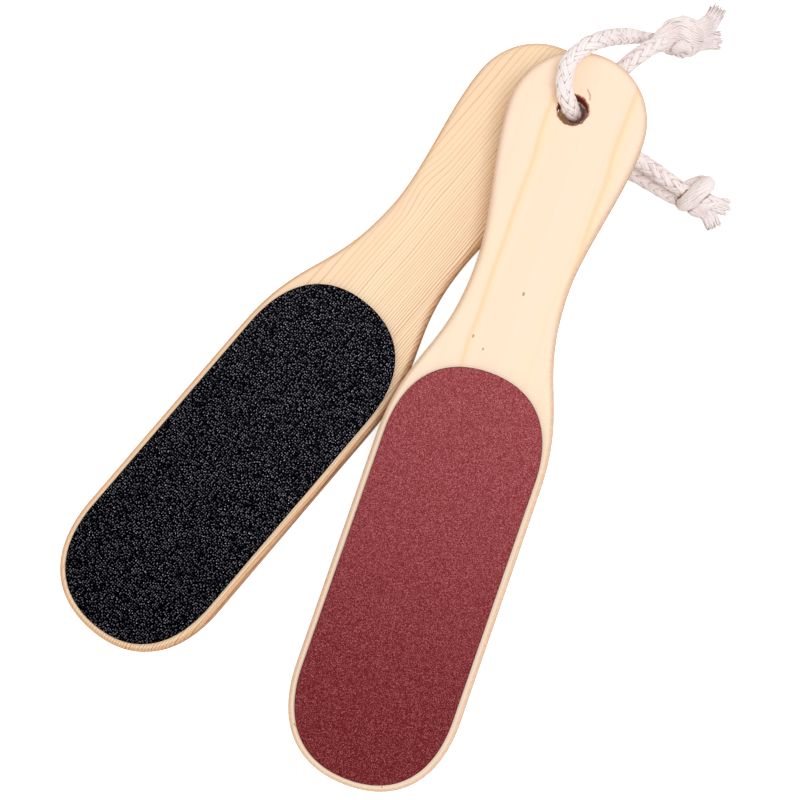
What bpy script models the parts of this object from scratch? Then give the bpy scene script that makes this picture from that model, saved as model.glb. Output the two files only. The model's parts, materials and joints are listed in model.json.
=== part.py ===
"""A pair of double sided wooden foot files, lying crossed with their hang cords.

Each file is a flat paddle of solid wood. A coarse abrasive sheet is glued to one face of its head
and a fine sheet to the other, and a loop of braided cotton cord, closed by a knot, runs through
the hole in its handle. The rear file lies coarse face up on the strand of its own cord that runs
under the handle. The front file lies fine face up over the rear handle and both cords.

Units are metres, +Z is up. The origin is on the surface that the pair lies on, under the middle
of the pair's box without its cords. A file's own frame has X across it, Y from the middle of
its pads towards the handle, and Z out of the coarse face.
"""

import math

import bmesh
import bpy
from mathutils import Matrix, Vector
from mathutils.geometry import interpolate_bezier

# Outline of the paddle, with stations measured from the tip of the head
OVERALL_LENGTH = 0.2672
HEAD_WIDTH = 0.0600
NOSE_LENGTH = 0.0337
SHOULDER_STATION = 0.1160
WAIST_STATION = 0.1853
WAIST_WIDTH = 0.0339
HANDLE_WIDTH = 0.0493
HANDLE_ROUND = 0.0253

# How far each Bezier handle reaches along its stretch, which sets how full the curve is
NOSE_SHARE = 0.637
ROUND_SHARE = 0.560
SHOULDER_SHARE = 0.474
NECK_SHARE = 0.500
FLANK_SHARE = 0.281
CREST_SHARE = 0.312

# Section of the paddle
WOOD_THICKNESS = 0.0090
HEAD_EDGE_RADIUS = 0.0020
HANDLE_EDGE_RADIUS = 0.0034

# Hang hole, off the middle of the handle by the drill's offset
HOLE_DIAMETER = 0.0103
HOLE_TO_END = 0.0219
HOLE_OFFSET = 0.0023
HOLE_RIM_RADIUS = 0.0010

# Abrasive sheets and the films of glue under them
PAD_LENGTH = 0.1470
PAD_MARGIN = 0.0026
COARSE_THICKNESS = 0.0009
FINE_THICKNESS = 0.0007
GLUE_THICKNESS = 0.0002
GLUE_INSET = 0.0008
FIT_GAP = 0.0003

# Cord, and how freely it passes under and between the handles
CORD_DIAMETER = 0.0062
UNDER_PLAY = 0.0012
BETWEEN_PLAY = 0.0016
CORD_STEP = 0.0018

# Knot: a core of pressed strands with one turn of the cord wound round it
KNOT_CORE_LENGTH = 0.0134
KNOT_CORE_DIAMETER = 0.0104
KNOT_WRAP_DIAMETER = 0.0056
KNOT_WRAP_RADIUS = 0.0048
KNOT_WRAP_PITCH = 0.0062
KNOT_WRAP_TURNS = 1.3
STUB_DIAMETER = 0.0058
STUB_LEAD = 0.0007
STUB_DEPTH_SHARE = 0.75
STUB_BEND_SHARE = 0.45

# Frayed ends of the cord
END_DIAMETER = 0.0050
END_FLARE_SHARE = 1.35

# Where the files lie: the middle of each hang hole from above, the way the rear handle points,
# and how far apart the middles of the pads are, which turns the front file
REAR_HOLE_X = 0.0686
REAR_HOLE_Y = 0.1082
REAR_TURN = math.radians(-40.4)
FRONT_HOLE_X = 0.0775
FRONT_HOLE_Y = 0.1010
PADS_APART = 0.0770

# Smoothness
STRETCH_POINTS = 14
EDGE_SEGMENTS = 4
HOLE_STEPS = 32
RIM_STEPS = 4
CORD_RESOLUTION = 3
CURVE_SAMPLES = 24
WRAP_POINTS_PER_TURN = 18
STUB_POINTS = 6
CORE_SEGMENTS = 24
CORE_RINGS = 14
WELD_DISTANCE = 0.00001
SHARP_ANGLE = math.radians(40.0)
CUT_OVERRUN = 0.0020

# Worked out from the sizes above
TIP = -(PAD_MARGIN + PAD_LENGTH / 2)
END = TIP + OVERALL_LENGTH
HOLE_PLACE = Vector((HOLE_OFFSET, END - HOLE_TO_END, 0.0))
REAR_HOLE_PLACE = Vector((REAR_HOLE_X, REAR_HOLE_Y))
FRONT_HOLE_PLACE = Vector((FRONT_HOLE_X, FRONT_HOLE_Y))
COARSE_STACK = FIT_GAP + GLUE_THICKNESS + FIT_GAP + COARSE_THICKNESS
FINE_STACK = FIT_GAP + GLUE_THICKNESS + FIT_GAP + FINE_THICKNESS

# Routes of the two loops, from the knot over the handle, down through the hole, under the handle
# and back to the knot
FRONT_LOOP = [
    (0.1107, 0.1362, 0.0046), (0.1082, 0.1361, 0.0059), (0.1056, 0.1357, 0.0082),
    (0.1016, 0.1342, 0.0138), (0.0974, 0.1317, 0.0210), (0.0931, 0.1289, 0.0278),
    (0.0891, 0.1261, 0.0336), (0.0855, 0.1236, 0.0376), (0.0823, 0.1214, 0.0394),
    (0.0793, 0.1190, 0.0400), (0.0768, 0.1163, 0.0403), (0.0751, 0.1131, 0.0402),
    (0.0745, 0.1098, 0.0399), (0.0743, 0.1068, 0.0392), (0.0748, 0.1042, 0.0376),
    (0.0760, 0.1022, 0.0346), (0.0769, 0.1012, 0.0310), (0.0777, 0.1011, 0.0276),
    (0.0789, 0.1020, 0.0240), (0.0807, 0.1038, 0.0214), (0.0837, 0.1070, 0.0206),
    (0.0879, 0.1114, 0.0206), (0.0929, 0.1167, 0.0201), (0.0969, 0.1210, 0.0192),
    (0.0999, 0.1238, 0.0182), (0.1030, 0.1265, 0.0168), (0.1056, 0.1288, 0.0152),
    (0.1082, 0.1308, 0.0135), (0.1103, 0.1323, 0.0122),
]
REAR_LOOP = [
    (0.1160, 0.0788, 0.0106), (0.1129, 0.0811, 0.0104), (0.1094, 0.0837, 0.0104),
    (0.1058, 0.0862, 0.0109), (0.1024, 0.0884, 0.0119), (0.0985, 0.0898, 0.0140),
    (0.0945, 0.0902, 0.0167), (0.0900, 0.0901, 0.0188), (0.0850, 0.0900, 0.0196),
    (0.0800, 0.0908, 0.0197), (0.0755, 0.0929, 0.0198), (0.0720, 0.0961, 0.0198),
    (0.0702, 0.0998, 0.0198), (0.0692, 0.1034, 0.0197), (0.0687, 0.1063, 0.0175),
    (0.0685, 0.1078, 0.0142), (0.0687, 0.1080, 0.0108), (0.0696, 0.1074, 0.0075),
    (0.0715, 0.1059, 0.0047), (0.0745, 0.1036, 0.0034), (0.0785, 0.1002, 0.0032),
    (0.0840, 0.0960, 0.0032), (0.0900, 0.0922, 0.0032), (0.0960, 0.0889, 0.0032),
    (0.1021, 0.0856, 0.0032), (0.1058, 0.0833, 0.0032), (0.1097, 0.0808, 0.0033),
    (0.1128, 0.0786, 0.0036), (0.1156, 0.0769, 0.0040),
]

# Knots and cord ends: the knot's middle, the way the cord runs through it, and the two ends
FRONT_KNOT = (0.1192, 0.1356, 0.0078)
FRONT_KNOT_TURN = math.radians(14.0)
FRONT_WRAP_START = math.radians(200.0)
FRONT_WRAP_HAND = 1
FRONT_ENDS = [
    [(0.1265, 0.1395, 0.0088), (0.1288, 0.1424, 0.0080), (0.1310, 0.1457, 0.0066)],
    [(0.1267, 0.1346, 0.0062), (0.1300, 0.1339, 0.0050), (0.1337, 0.1327, 0.0038)],
]
REAR_KNOT = (0.1223, 0.0758, 0.0078)
REAR_KNOT_TURN = math.radians(-28.0)
REAR_WRAP_START = math.radians(160.0)
REAR_WRAP_HAND = -1
REAR_ENDS = [
    [(0.1269, 0.0698, 0.0060), (0.1286, 0.0667, 0.0048), (0.1300, 0.0632, 0.0038)],
    [(0.1295, 0.0743, 0.0072), (0.1328, 0.0736, 0.0060), (0.1362, 0.0726, 0.0044)],
]


def clear_scene():
    """Remove what the file starts with."""
    for old in list(bpy.data.objects):
        bpy.data.objects.remove(old, do_unlink=True)


def collection(name):
    """A new collection in the scene."""
    made = bpy.data.collections.new(name)
    bpy.context.scene.collection.children.link(made)
    return made


def finish(name, colour, roughness, metallic=0.0):
    """A Principled material of one colour, roughness and metallic value."""
    material = bpy.data.materials.new(name)
    material.use_nodes = True
    shader = material.node_tree.nodes["Principled BSDF"]
    shader.inputs["Base Color"].default_value = (*colour, 1.0)
    shader.inputs["Roughness"].default_value = roughness
    shader.inputs["Metallic"].default_value = metallic
    material.diffuse_color = (*colour, 1.0)
    return material


def add(name, data, group, material=None, parent=None):
    """Link a new object with this data, under a parent whose frame its mesh is in."""
    made = bpy.data.objects.new(name, data)
    group.objects.link(made)
    made.parent = parent
    if material is not None:
        data.materials.append(material)
    return made


def hide_cutter(cutter):
    """Mark an object as a guide that the build leaves out."""
    cutter.hide_render = True
    cutter.display_type = "WIRE"
    return cutter


def empty(name, group, place, parent=None):
    """An empty that pieces hang from."""
    made = add(name, None, group, parent=parent)
    made.location = place
    return made


def closed_outline(right):
    """A closed outline from its right side, which the left side mirrors.

    Each corner is a place with the ends of its handles before and after it. The first and the last
    corner lie on the middle line. A handle that ends at its own corner starts a straight stretch.
    """
    left = [
        tuple((-x, y) for x, y in (place, after, before))
        for place, before, after in reversed(right[1:-1])
    ]
    return right + left


def paddle_outline():
    """The paddle from above: nose, straight head, shoulder, waist, flank and round handle end."""
    head, waist, handle = HEAD_WIDTH / 2, WAIST_WIDTH / 2, HANDLE_WIDTH / 2
    side_y = TIP + NOSE_LENGTH
    shoulder_y = TIP + SHOULDER_STATION
    waist_y = TIP + WAIST_STATION
    crest_y = END - HANDLE_ROUND
    nose_reach = NOSE_LENGTH * NOSE_SHARE
    shoulder_reach = (waist_y - shoulder_y) * SHOULDER_SHARE
    neck_reach = (waist_y - shoulder_y) * NECK_SHARE
    flank_reach = (crest_y - waist_y) * FLANK_SHARE
    crest_reach = (crest_y - waist_y) * CREST_SHARE
    round_reach = HANDLE_ROUND * ROUND_SHARE
    return closed_outline([
        ((0.0, TIP), (-head * NOSE_SHARE, TIP), (head * NOSE_SHARE, TIP)),
        ((head, side_y), (head, side_y - nose_reach), (head, side_y)),
        ((head, shoulder_y), (head, shoulder_y), (head, shoulder_y + shoulder_reach)),
        ((waist, waist_y), (waist, waist_y - neck_reach), (waist, waist_y + flank_reach)),
        ((handle, crest_y), (handle, crest_y - crest_reach), (handle, crest_y + round_reach)),
        ((0.0, END), (handle * ROUND_SHARE, END), (-handle * ROUND_SHARE, END)),
    ])


def pad_outline(inset):
    """The pad, drawn in from its own edge: the head's nose at both ends of a straight strip."""
    half = HEAD_WIDTH / 2 - PAD_MARGIN - inset
    reach = PAD_LENGTH / 2 - inset
    length = NOSE_LENGTH - PAD_MARGIN - inset
    side = reach - length
    nose_reach = length * NOSE_SHARE
    return closed_outline([
        ((0.0, -reach), (-half * NOSE_SHARE, -reach), (half * NOSE_SHARE, -reach)),
        ((half, -side), (half, -side - nose_reach), (half, -side)),
        ((half, side), (half, side), (half, side + nose_reach)),
        ((0.0, reach), (half * NOSE_SHARE, reach), (-half * NOSE_SHARE, reach)),
    ])


def plate(name, outline, thickness):
    """A flat curve, filled and given its thickness, half of it on each side of its plane."""
    curve = bpy.data.curves.new(name, "CURVE")
    curve.dimensions = "2D"
    curve.fill_mode = "BOTH"
    curve.extrude = thickness / 2
    curve.resolution_u = STRETCH_POINTS
    spline = curve.splines.new("BEZIER")
    spline.bezier_points.add(len(outline) - 1)
    spline.use_cyclic_u = True
    for point, (place, before, after) in zip(spline.bezier_points, outline):
        point.handle_left_type = "VECTOR" if before == place else "FREE"
        point.handle_right_type = "VECTOR" if after == place else "FREE"
        point.co = (*place, 0.0)
        point.handle_left = (*before, 0.0)
        point.handle_right = (*after, 0.0)
    return curve


def solid_from(drawn, name, group):
    """Swap a curve object for a mesh object with its caps welded on."""
    bpy.context.view_layer.update()
    seen = drawn.evaluated_get(bpy.context.evaluated_depsgraph_get())
    mesh = bpy.data.meshes.new_from_object(seen)
    work = bmesh.new()
    work.from_mesh(mesh)
    bmesh.ops.remove_doubles(work, verts=work.verts, dist=WELD_DISTANCE)
    bmesh.ops.recalc_face_normals(work, faces=work.faces)
    work.to_mesh(mesh)
    work.free()
    made = add(name, mesh, group, parent=drawn.parent)
    made.matrix_world = drawn.matrix_world
    bpy.data.objects.remove(drawn, do_unlink=True)
    return made


def edge_radius(y):
    """The rounding of the paddle's edges at a place along it, small on the head, larger past it."""
    start, stop = TIP + SHOULDER_STATION, TIP + WAIST_STATION
    along = min(max((y - start) / (stop - start), 0.0), 1.0)
    blend = along * along * (3 - 2 * along)
    return HEAD_EDGE_RADIUS + (HANDLE_EDGE_RADIUS - HEAD_EDGE_RADIUS) * blend


def round_edges(paddle):
    """Make one face of each side of the paddle, and round its edges with their own radius."""
    widest = max(HEAD_EDGE_RADIUS, HANDLE_EDGE_RADIUS)
    work = bmesh.new()
    work.from_mesh(paddle.data)
    level = [face for face in work.faces if abs(face.normal.z) > math.cos(SHARP_ANGLE)]
    bmesh.ops.dissolve_faces(work, faces=level)
    weights = work.edges.layers.float.new("bevel_weight_edge")
    for edge in work.edges:
        if edge.calc_face_angle() > SHARP_ANGLE:
            first, second = edge.verts
            edge[weights] = edge_radius((first.co.y + second.co.y) / 2) / widest
    work.to_mesh(paddle.data)
    work.free()
    rounding = paddle.modifiers.new("rounded_edges", "BEVEL")
    rounding.limit_method = "WEIGHT"
    rounding.width = widest
    rounding.segments = EDGE_SEGMENTS


def hole_cutter(name, guides, parent):
    """A turned cutter for the hang hole, flared at both faces to round the rims."""
    radius = HOLE_DIAMETER / 2
    face = WOOD_THICKNESS / 2
    profile = [(0.0, face + CUT_OVERRUN), (radius + HOLE_RIM_RADIUS, face + CUT_OVERRUN)]
    for step in range(RIM_STEPS + 1):
        angle = math.pi / 2 * (1 - step / RIM_STEPS)
        flare = HOLE_RIM_RADIUS * (1 - math.cos(angle))
        profile.append((radius + flare, face - HOLE_RIM_RADIUS * (1 - math.sin(angle))))
    profile += [(x, -z) for x, z in reversed(profile)]
    mesh = bpy.data.meshes.new(name)
    points = [(x, 0.0, z) for x, z in profile]
    mesh.from_pydata(points, [(i, i + 1) for i in range(len(points) - 1)], [])
    cutter = hide_cutter(add(name, mesh, guides, parent=parent))
    cutter.location = HOLE_PLACE
    turn = cutter.modifiers.new("turned", "SCREW")
    turn.steps = HOLE_STEPS
    turn.render_steps = HOLE_STEPS
    turn.use_merge_vertices = True
    turn.merge_threshold = WELD_DISTANCE
    return cutter


def boolean(target, tool, operation):
    """Cut or join one object with another."""
    step = target.modifiers.new(tool.name, "BOOLEAN")
    step.operation = operation
    step.solver = "EXACT"
    step.object = tool


def make_paddle(side, parts, guides, parent, wood):
    """The wooden paddle with its rounded edges and its hang hole."""
    board = plate(f"{side}_board", paddle_outline(), WOOD_THICKNESS)
    drawn = add(board.name, board, parts, wood, parent)
    paddle = solid_from(drawn, f"{side}_paddle", parts)
    round_edges(paddle)
    boolean(paddle, hole_cutter(f"{side}_hole_cutter", guides, parent), "DIFFERENCE")


def make_pads(side, parts, parent, looks):
    """Both abrasive sheets of one file, each on its film of glue."""
    film_low = WOOD_THICKNESS / 2 + FIT_GAP
    sheet_low = film_low + GLUE_THICKNESS + FIT_GAP
    for grade, face, thickness in (("coarse", 1, COARSE_THICKNESS), ("fine", -1, FINE_THICKNESS)):
        name = f"{side}_{grade}_glue"
        film = add(name, plate(name, pad_outline(GLUE_INSET), GLUE_THICKNESS), parts, looks["glue"], parent)
        film.location.z = face * (film_low + GLUE_THICKNESS / 2)
        name = f"{side}_{grade}_sheet"
        sheet = add(name, plate(name, pad_outline(0.0), thickness), parts, looks[grade], parent)
        sheet.location.z = face * (sheet_low + thickness / 2)


def front_turn():
    """The way the front handle points, with the two pads their distance apart.

    The flipped front file has its hole on the other side of its middle line.
    """
    rear_pad = REAR_HOLE_PLACE - Matrix.Rotation(REAR_TURN, 2) @ HOLE_PLACE.xy
    across = rear_pad - FRONT_HOLE_PLACE
    arm = HOLE_PLACE.xy.length
    opposite = arm ** 2 + across.length_squared - PADS_APART ** 2
    between = math.acos(opposite / (2 * arm * across.length))
    from_hole = math.atan2(across.y, across.x) + between
    return from_hole + math.pi / 2 - math.atan2(HOLE_PLACE.x, HOLE_PLACE.y)


def file_frame(side, parts, hole, turn, lift, stack, flipped):
    """The empty that holds one file: its hole over the given place, its head on the surface.

    The far edge of its lower pad touches the surface, and the cord at the hole holds the wood's
    underside at the given height.
    """
    arm = HOLE_PLACE.y + PAD_LENGTH / 2
    tilt = math.asin((lift - stack) / arm)
    height = PAD_LENGTH / 2 * math.sin(tilt) + (WOOD_THICKNESS / 2 + stack) * math.cos(tilt)
    lying = Matrix.Rotation(turn, 4, "Z") @ Matrix.Rotation(tilt, 4, "X")
    if flipped:
        lying = lying @ Matrix.Rotation(math.pi, 4, "Y")
    middle = hole - (lying @ HOLE_PLACE).xy
    holder = empty(f"{side}_file", parts, (*middle, height))
    holder.rotation_euler = lying.to_euler()
    return holder


def smooth(route, step):
    """Evenly spaced points along a centripetal Catmull-Rom curve through the route."""
    knots = [Vector(p) for p in route]
    ends = [2 * knots[0] - knots[1], 2 * knots[-1] - knots[-2]]
    line = [ends[0], *knots, ends[1]]
    fine = []
    for a, b, c, d in zip(line, line[1:], line[2:], line[3:]):
        t1 = (b - a).length ** 0.5
        t2 = t1 + (c - b).length ** 0.5
        t3 = t2 + (d - c).length ** 0.5
        for i in range(CURVE_SAMPLES):
            t = t1 + (t2 - t1) * i / CURVE_SAMPLES
            ab = a.lerp(b, t / t1)
            bc = b.lerp(c, (t - t1) / (t2 - t1))
            cd = c.lerp(d, (t - t2) / (t3 - t2))
            abc = ab.lerp(bc, t / t2)
            bcd = bc.lerp(cd, (t - t1) / (t3 - t1))
            fine.append(abc.lerp(bcd, (t - t1) / (t2 - t1)))
    fine.append(knots[-1])
    return evenly(fine, step)


def evenly(fine, step):
    """Points at equal steps along a fine line, its two ends among them."""
    lengths = [0.0]
    for a, b in zip(fine, fine[1:]):
        lengths.append(lengths[-1] + (b - a).length)
    count = max(1, round(lengths[-1] / step))
    spaced, i = [], 0
    for n in range(count + 1):
        along = lengths[-1] * n / count
        while i < len(fine) - 2 and lengths[i + 1] < along:
            i += 1
        spaced.append(fine[i].lerp(fine[i + 1], (along - lengths[i]) / (lengths[i + 1] - lengths[i])))
    return spaced


def tube_curve(name, points, diameter, flare=1.0):
    """A round tube through the points, capped, growing by the flare share towards its last end."""
    curve = bpy.data.curves.new(name, "CURVE")
    curve.dimensions = "3D"
    curve.bevel_depth = diameter / 2
    curve.bevel_resolution = CORD_RESOLUTION
    curve.use_fill_caps = True
    spline = curve.splines.new("POLY")
    spline.points.add(len(points) - 1)
    for i, (point, place) in enumerate(zip(spline.points, points)):
        point.co = (*place, 1.0)
        point.radius = 1 + (flare - 1) * i / (len(points) - 1)
    return curve


def cord_tool(name, points, diameter, guides):
    """A run of cord as a closed mesh, for joining to another."""
    drawn = add(f"{name}_line", tube_curve(name, points, diameter), guides)
    return hide_cutter(solid_from(drawn, name, guides))


def hang_from(piece, pivot):
    """Parent a piece whose mesh is in the pair's own frame to its pivot."""
    piece.parent = pivot
    piece.location = -pivot.location
    return piece


def wrap_points(middle, turn, start, hand):
    """The turn of cord wound round the knot, along the way that the cord runs through it."""
    frame = Matrix.Translation(middle) @ Matrix.Rotation(turn, 4, "Z")
    count = round(KNOT_WRAP_TURNS * WRAP_POINTS_PER_TURN)
    points = []
    for i in range(count + 1):
        share = i / count
        angle = start + hand * share * KNOT_WRAP_TURNS * math.tau
        along = (share - 0.5) * KNOT_WRAP_TURNS * KNOT_WRAP_PITCH
        across = Vector((along, KNOT_WRAP_RADIUS * math.cos(angle), KNOT_WRAP_RADIUS * math.sin(angle)))
        points.append(frame @ across)
    return points


def stub_points(end, before, middle):
    """A short run inside the knot, curving from just past a cord's end towards the middle."""
    end, before, middle = Vector(end), Vector(before), Vector(middle)
    way = (end - before).normalized()
    face = end + way * FIT_GAP
    lead = face + way * STUB_LEAD
    inner = face.lerp(middle, STUB_DEPTH_SHARE)
    bend = lead + way * (inner - lead).length * STUB_BEND_SHARE
    return [face, *interpolate_bezier(lead, bend, inner, inner, STUB_POINTS)]


def make_knot(side, middle, turn, start, hand, meets, parts, guides, pivot, cotton):
    """The knot: pressed core, wound turn, and the runs where four cord ends go in."""
    name = f"{side}_cord_knot"
    work = bmesh.new()
    bmesh.ops.create_uvsphere(
        work, u_segments=CORE_SEGMENTS, v_segments=CORE_RINGS, radius=KNOT_CORE_DIAMETER / 2
    )
    lying = Matrix.Rotation(math.pi / 2, 4, "Y")
    stretch = Matrix.Diagonal((KNOT_CORE_LENGTH / KNOT_CORE_DIAMETER, 1.0, 1.0, 1.0))
    place = Matrix.Translation(middle) @ Matrix.Rotation(turn, 4, "Z")
    bmesh.ops.transform(work, matrix=place @ stretch @ lying, verts=work.verts)
    core = bpy.data.meshes.new(name)
    work.to_mesh(core)
    work.free()
    knot = add(name, core, parts, cotton)
    hang_from(knot, pivot)
    for i, (end, before) in enumerate(meets):
        stub = cord_tool(f"{side}_stub_{i}", stub_points(end, before, middle), STUB_DIAMETER, guides)
        boolean(knot, stub, "UNION")
    wrap = cord_tool(f"{side}_wrap", wrap_points(middle, turn, start, hand), KNOT_WRAP_DIAMETER, guides)
    boolean(knot, wrap, "UNION")


def make_cord(side, route, knot, ends, parts, guides, pivot, cotton):
    """One file's cord: the loop through the hole, its knot, and the two loose ends."""
    middle, turn, start, hand = knot
    loop = smooth(route, CORD_STEP)
    drawn = add(f"{side}_cord_loop", tube_curve(f"{side}_cord_loop", loop, CORD_DIAMETER), parts, cotton)
    hang_from(drawn, pivot)
    meets = [(loop[0], loop[1]), (loop[-1], loop[-2])]
    for label, tail in zip("ab", ends):
        line = smooth(tail, CORD_STEP)
        name = f"{side}_cord_end_{label}"
        drawn = add(name, tube_curve(name, line, END_DIAMETER, END_FLARE_SHARE), parts, cotton)
        hang_from(drawn, pivot)
        meets.append((line[0], line[1]))
    make_knot(side, middle, turn, start, hand, meets, parts, guides, pivot, cotton)


def shade(parts):
    """Smooth shading with sharp edges kept, on every mesh."""
    for piece in parts.objects:
        if piece.type == "MESH":
            piece.data.shade_smooth()
            piece.data.set_sharp_from_angle(angle=SHARP_ANGLE)


def main():
    """Build both files and their cords."""
    clear_scene()
    parts = collection("foot_file_pair")
    guides = collection("cutters")
    looks = {
        "rear_wood": finish("tan_pine", (0.82, 0.56, 0.32), 0.55),
        "front_wood": finish("pale_pine", (0.91, 0.75, 0.55), 0.55),
        "coarse": finish("black_coarse_grit", (0.012, 0.011, 0.016), 0.75),
        "fine": finish("maroon_fine_grit", (0.25, 0.045, 0.055), 0.8),
        "glue": finish("glue_film", (0.75, 0.68, 0.52), 0.4),
        "cotton": finish("cotton_cord", (0.82, 0.75, 0.74), 0.9),
    }
    rear_lift = CORD_DIAMETER + UNDER_PLAY
    front_lift = rear_lift + WOOD_THICKNESS + CORD_DIAMETER + BETWEEN_PLAY
    files = (
        ("rear", REAR_HOLE_PLACE, REAR_TURN, rear_lift, FINE_STACK, False, REAR_LOOP,
         (REAR_KNOT, REAR_KNOT_TURN, REAR_WRAP_START, REAR_WRAP_HAND), REAR_ENDS),
        ("front", FRONT_HOLE_PLACE, front_turn(), front_lift, COARSE_STACK, True, FRONT_LOOP,
         (FRONT_KNOT, FRONT_KNOT_TURN, FRONT_WRAP_START, FRONT_WRAP_HAND), FRONT_ENDS),
    )
    for side, hole, turn, lift, stack, flipped, route, knot, ends in files:
        holder = file_frame(side, parts, hole, turn, lift, stack, flipped)
        make_paddle(side, parts, guides, holder, looks[f"{side}_wood"])
        make_pads(side, parts, holder, looks)
        bpy.context.view_layer.update()
        pivot = empty(f"{side}_cord_pivot", parts, holder.matrix_world @ HOLE_PLACE)
        make_cord(side, route, knot, ends, parts, guides, pivot, looks["cotton"])
    shade(parts)


main()
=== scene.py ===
"""Looks of a pair of double sided wooden foot files, lying crossed with their knotted hang cords.

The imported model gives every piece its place. Here the pine gets its growth lines, the abrasive
sheets their grains, and the cords their braid, their knots and their frayed ends. Lengths are in
metres and +Z is up. A file's own frame has X across it, Y from the middle of its pads towards the
handle, and Z out of the coarse face.
"""

import json
import logging
import math
from dataclasses import dataclass
from enum import Enum

import bmesh
import bpy
import numpy as np
from mathutils import Matrix, Vector
from mathutils.geometry import delaunay_2d_cdt, interpolate_bezier


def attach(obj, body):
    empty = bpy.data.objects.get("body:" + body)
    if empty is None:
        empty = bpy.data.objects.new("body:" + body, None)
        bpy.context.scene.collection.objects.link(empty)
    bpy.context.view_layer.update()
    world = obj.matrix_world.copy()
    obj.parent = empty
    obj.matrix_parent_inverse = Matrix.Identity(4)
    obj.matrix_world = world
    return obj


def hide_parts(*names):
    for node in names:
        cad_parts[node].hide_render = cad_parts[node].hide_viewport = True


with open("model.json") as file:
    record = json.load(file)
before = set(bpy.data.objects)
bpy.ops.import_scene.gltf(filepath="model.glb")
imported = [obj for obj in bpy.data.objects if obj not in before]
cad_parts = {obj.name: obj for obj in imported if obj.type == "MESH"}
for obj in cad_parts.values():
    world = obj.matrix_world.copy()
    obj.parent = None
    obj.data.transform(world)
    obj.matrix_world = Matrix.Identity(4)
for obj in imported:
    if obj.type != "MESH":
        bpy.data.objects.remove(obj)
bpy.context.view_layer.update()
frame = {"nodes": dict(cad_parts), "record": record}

Flat = tuple[float, float]
Point = tuple[float, float, float]
Colour = tuple[float, float, float]
Corner = tuple[Flat, Flat, Flat]
Thick = tuple[float, float, float, float]
Socket = bpy.types.NodeSocket

WELD_DISTANCE = 0.00001
MEETING_DISTANCE = 1e-9
SHARP_ANGLE = math.radians(35.0)
GOLDEN_TURN = math.pi * (3 - math.sqrt(5))

# What the meshes tell their finishes
FILE_PLACE = "file_place"
BORE = "bore"
EDGE = "edge"
CUT_EDGE = "cut_edge"
# The painted shade of each point of a yarn, from 0 to 1
CREVICE_SHADE = "crevice_shade"
YARN_MAP = "yarn"

# Waves a metre along X, Y and Z of the noise in the wood, and along and round a yarn
BOARD_WAVES = (20.0, 11.0, 20.0)
LINE_SHIVER = (500.0, 60.0, 500.0)
WOOD_TONE = (70.0, 7.0, 70.0)
WOOD_PORES = (3800.0, 160.0, 3800.0)
SAWN_WALL = (900.0, 900.0, 40.0)
STREAK_WANDER = (0.0, 26.0, 0.0)
YEAR_WAVES = 420.0
YARN_FIBRES = (13.0, 160.0, 1.0)
YARN_HAIRS = (7.0, 55.0, 1.0)
COTTON_TONE = 220.0
GLUE_BLOTS = 300.0

log = logging.getLogger("foot_files")


class Side(Enum):
    """Which of the two files a piece belongs to."""

    REAR = "rear"
    FRONT = "front"


class Grade(Enum):
    """The grade of an abrasive sheet, and the face of the wood that it is glued to."""

    COARSE = "coarse"
    FINE = "fine"


def srgb(red: int, green: int, blue: int) -> Colour:
    """A colour given as it shows on a screen, in the linear values that a shader takes."""
    shares = (red / 255, green / 255, blue / 255)
    return tuple(c / 12.92 if c <= 0.04045 else ((c + 0.055) / 1.055) ** 2.4 for c in shares)


# Shader wiring


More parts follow.
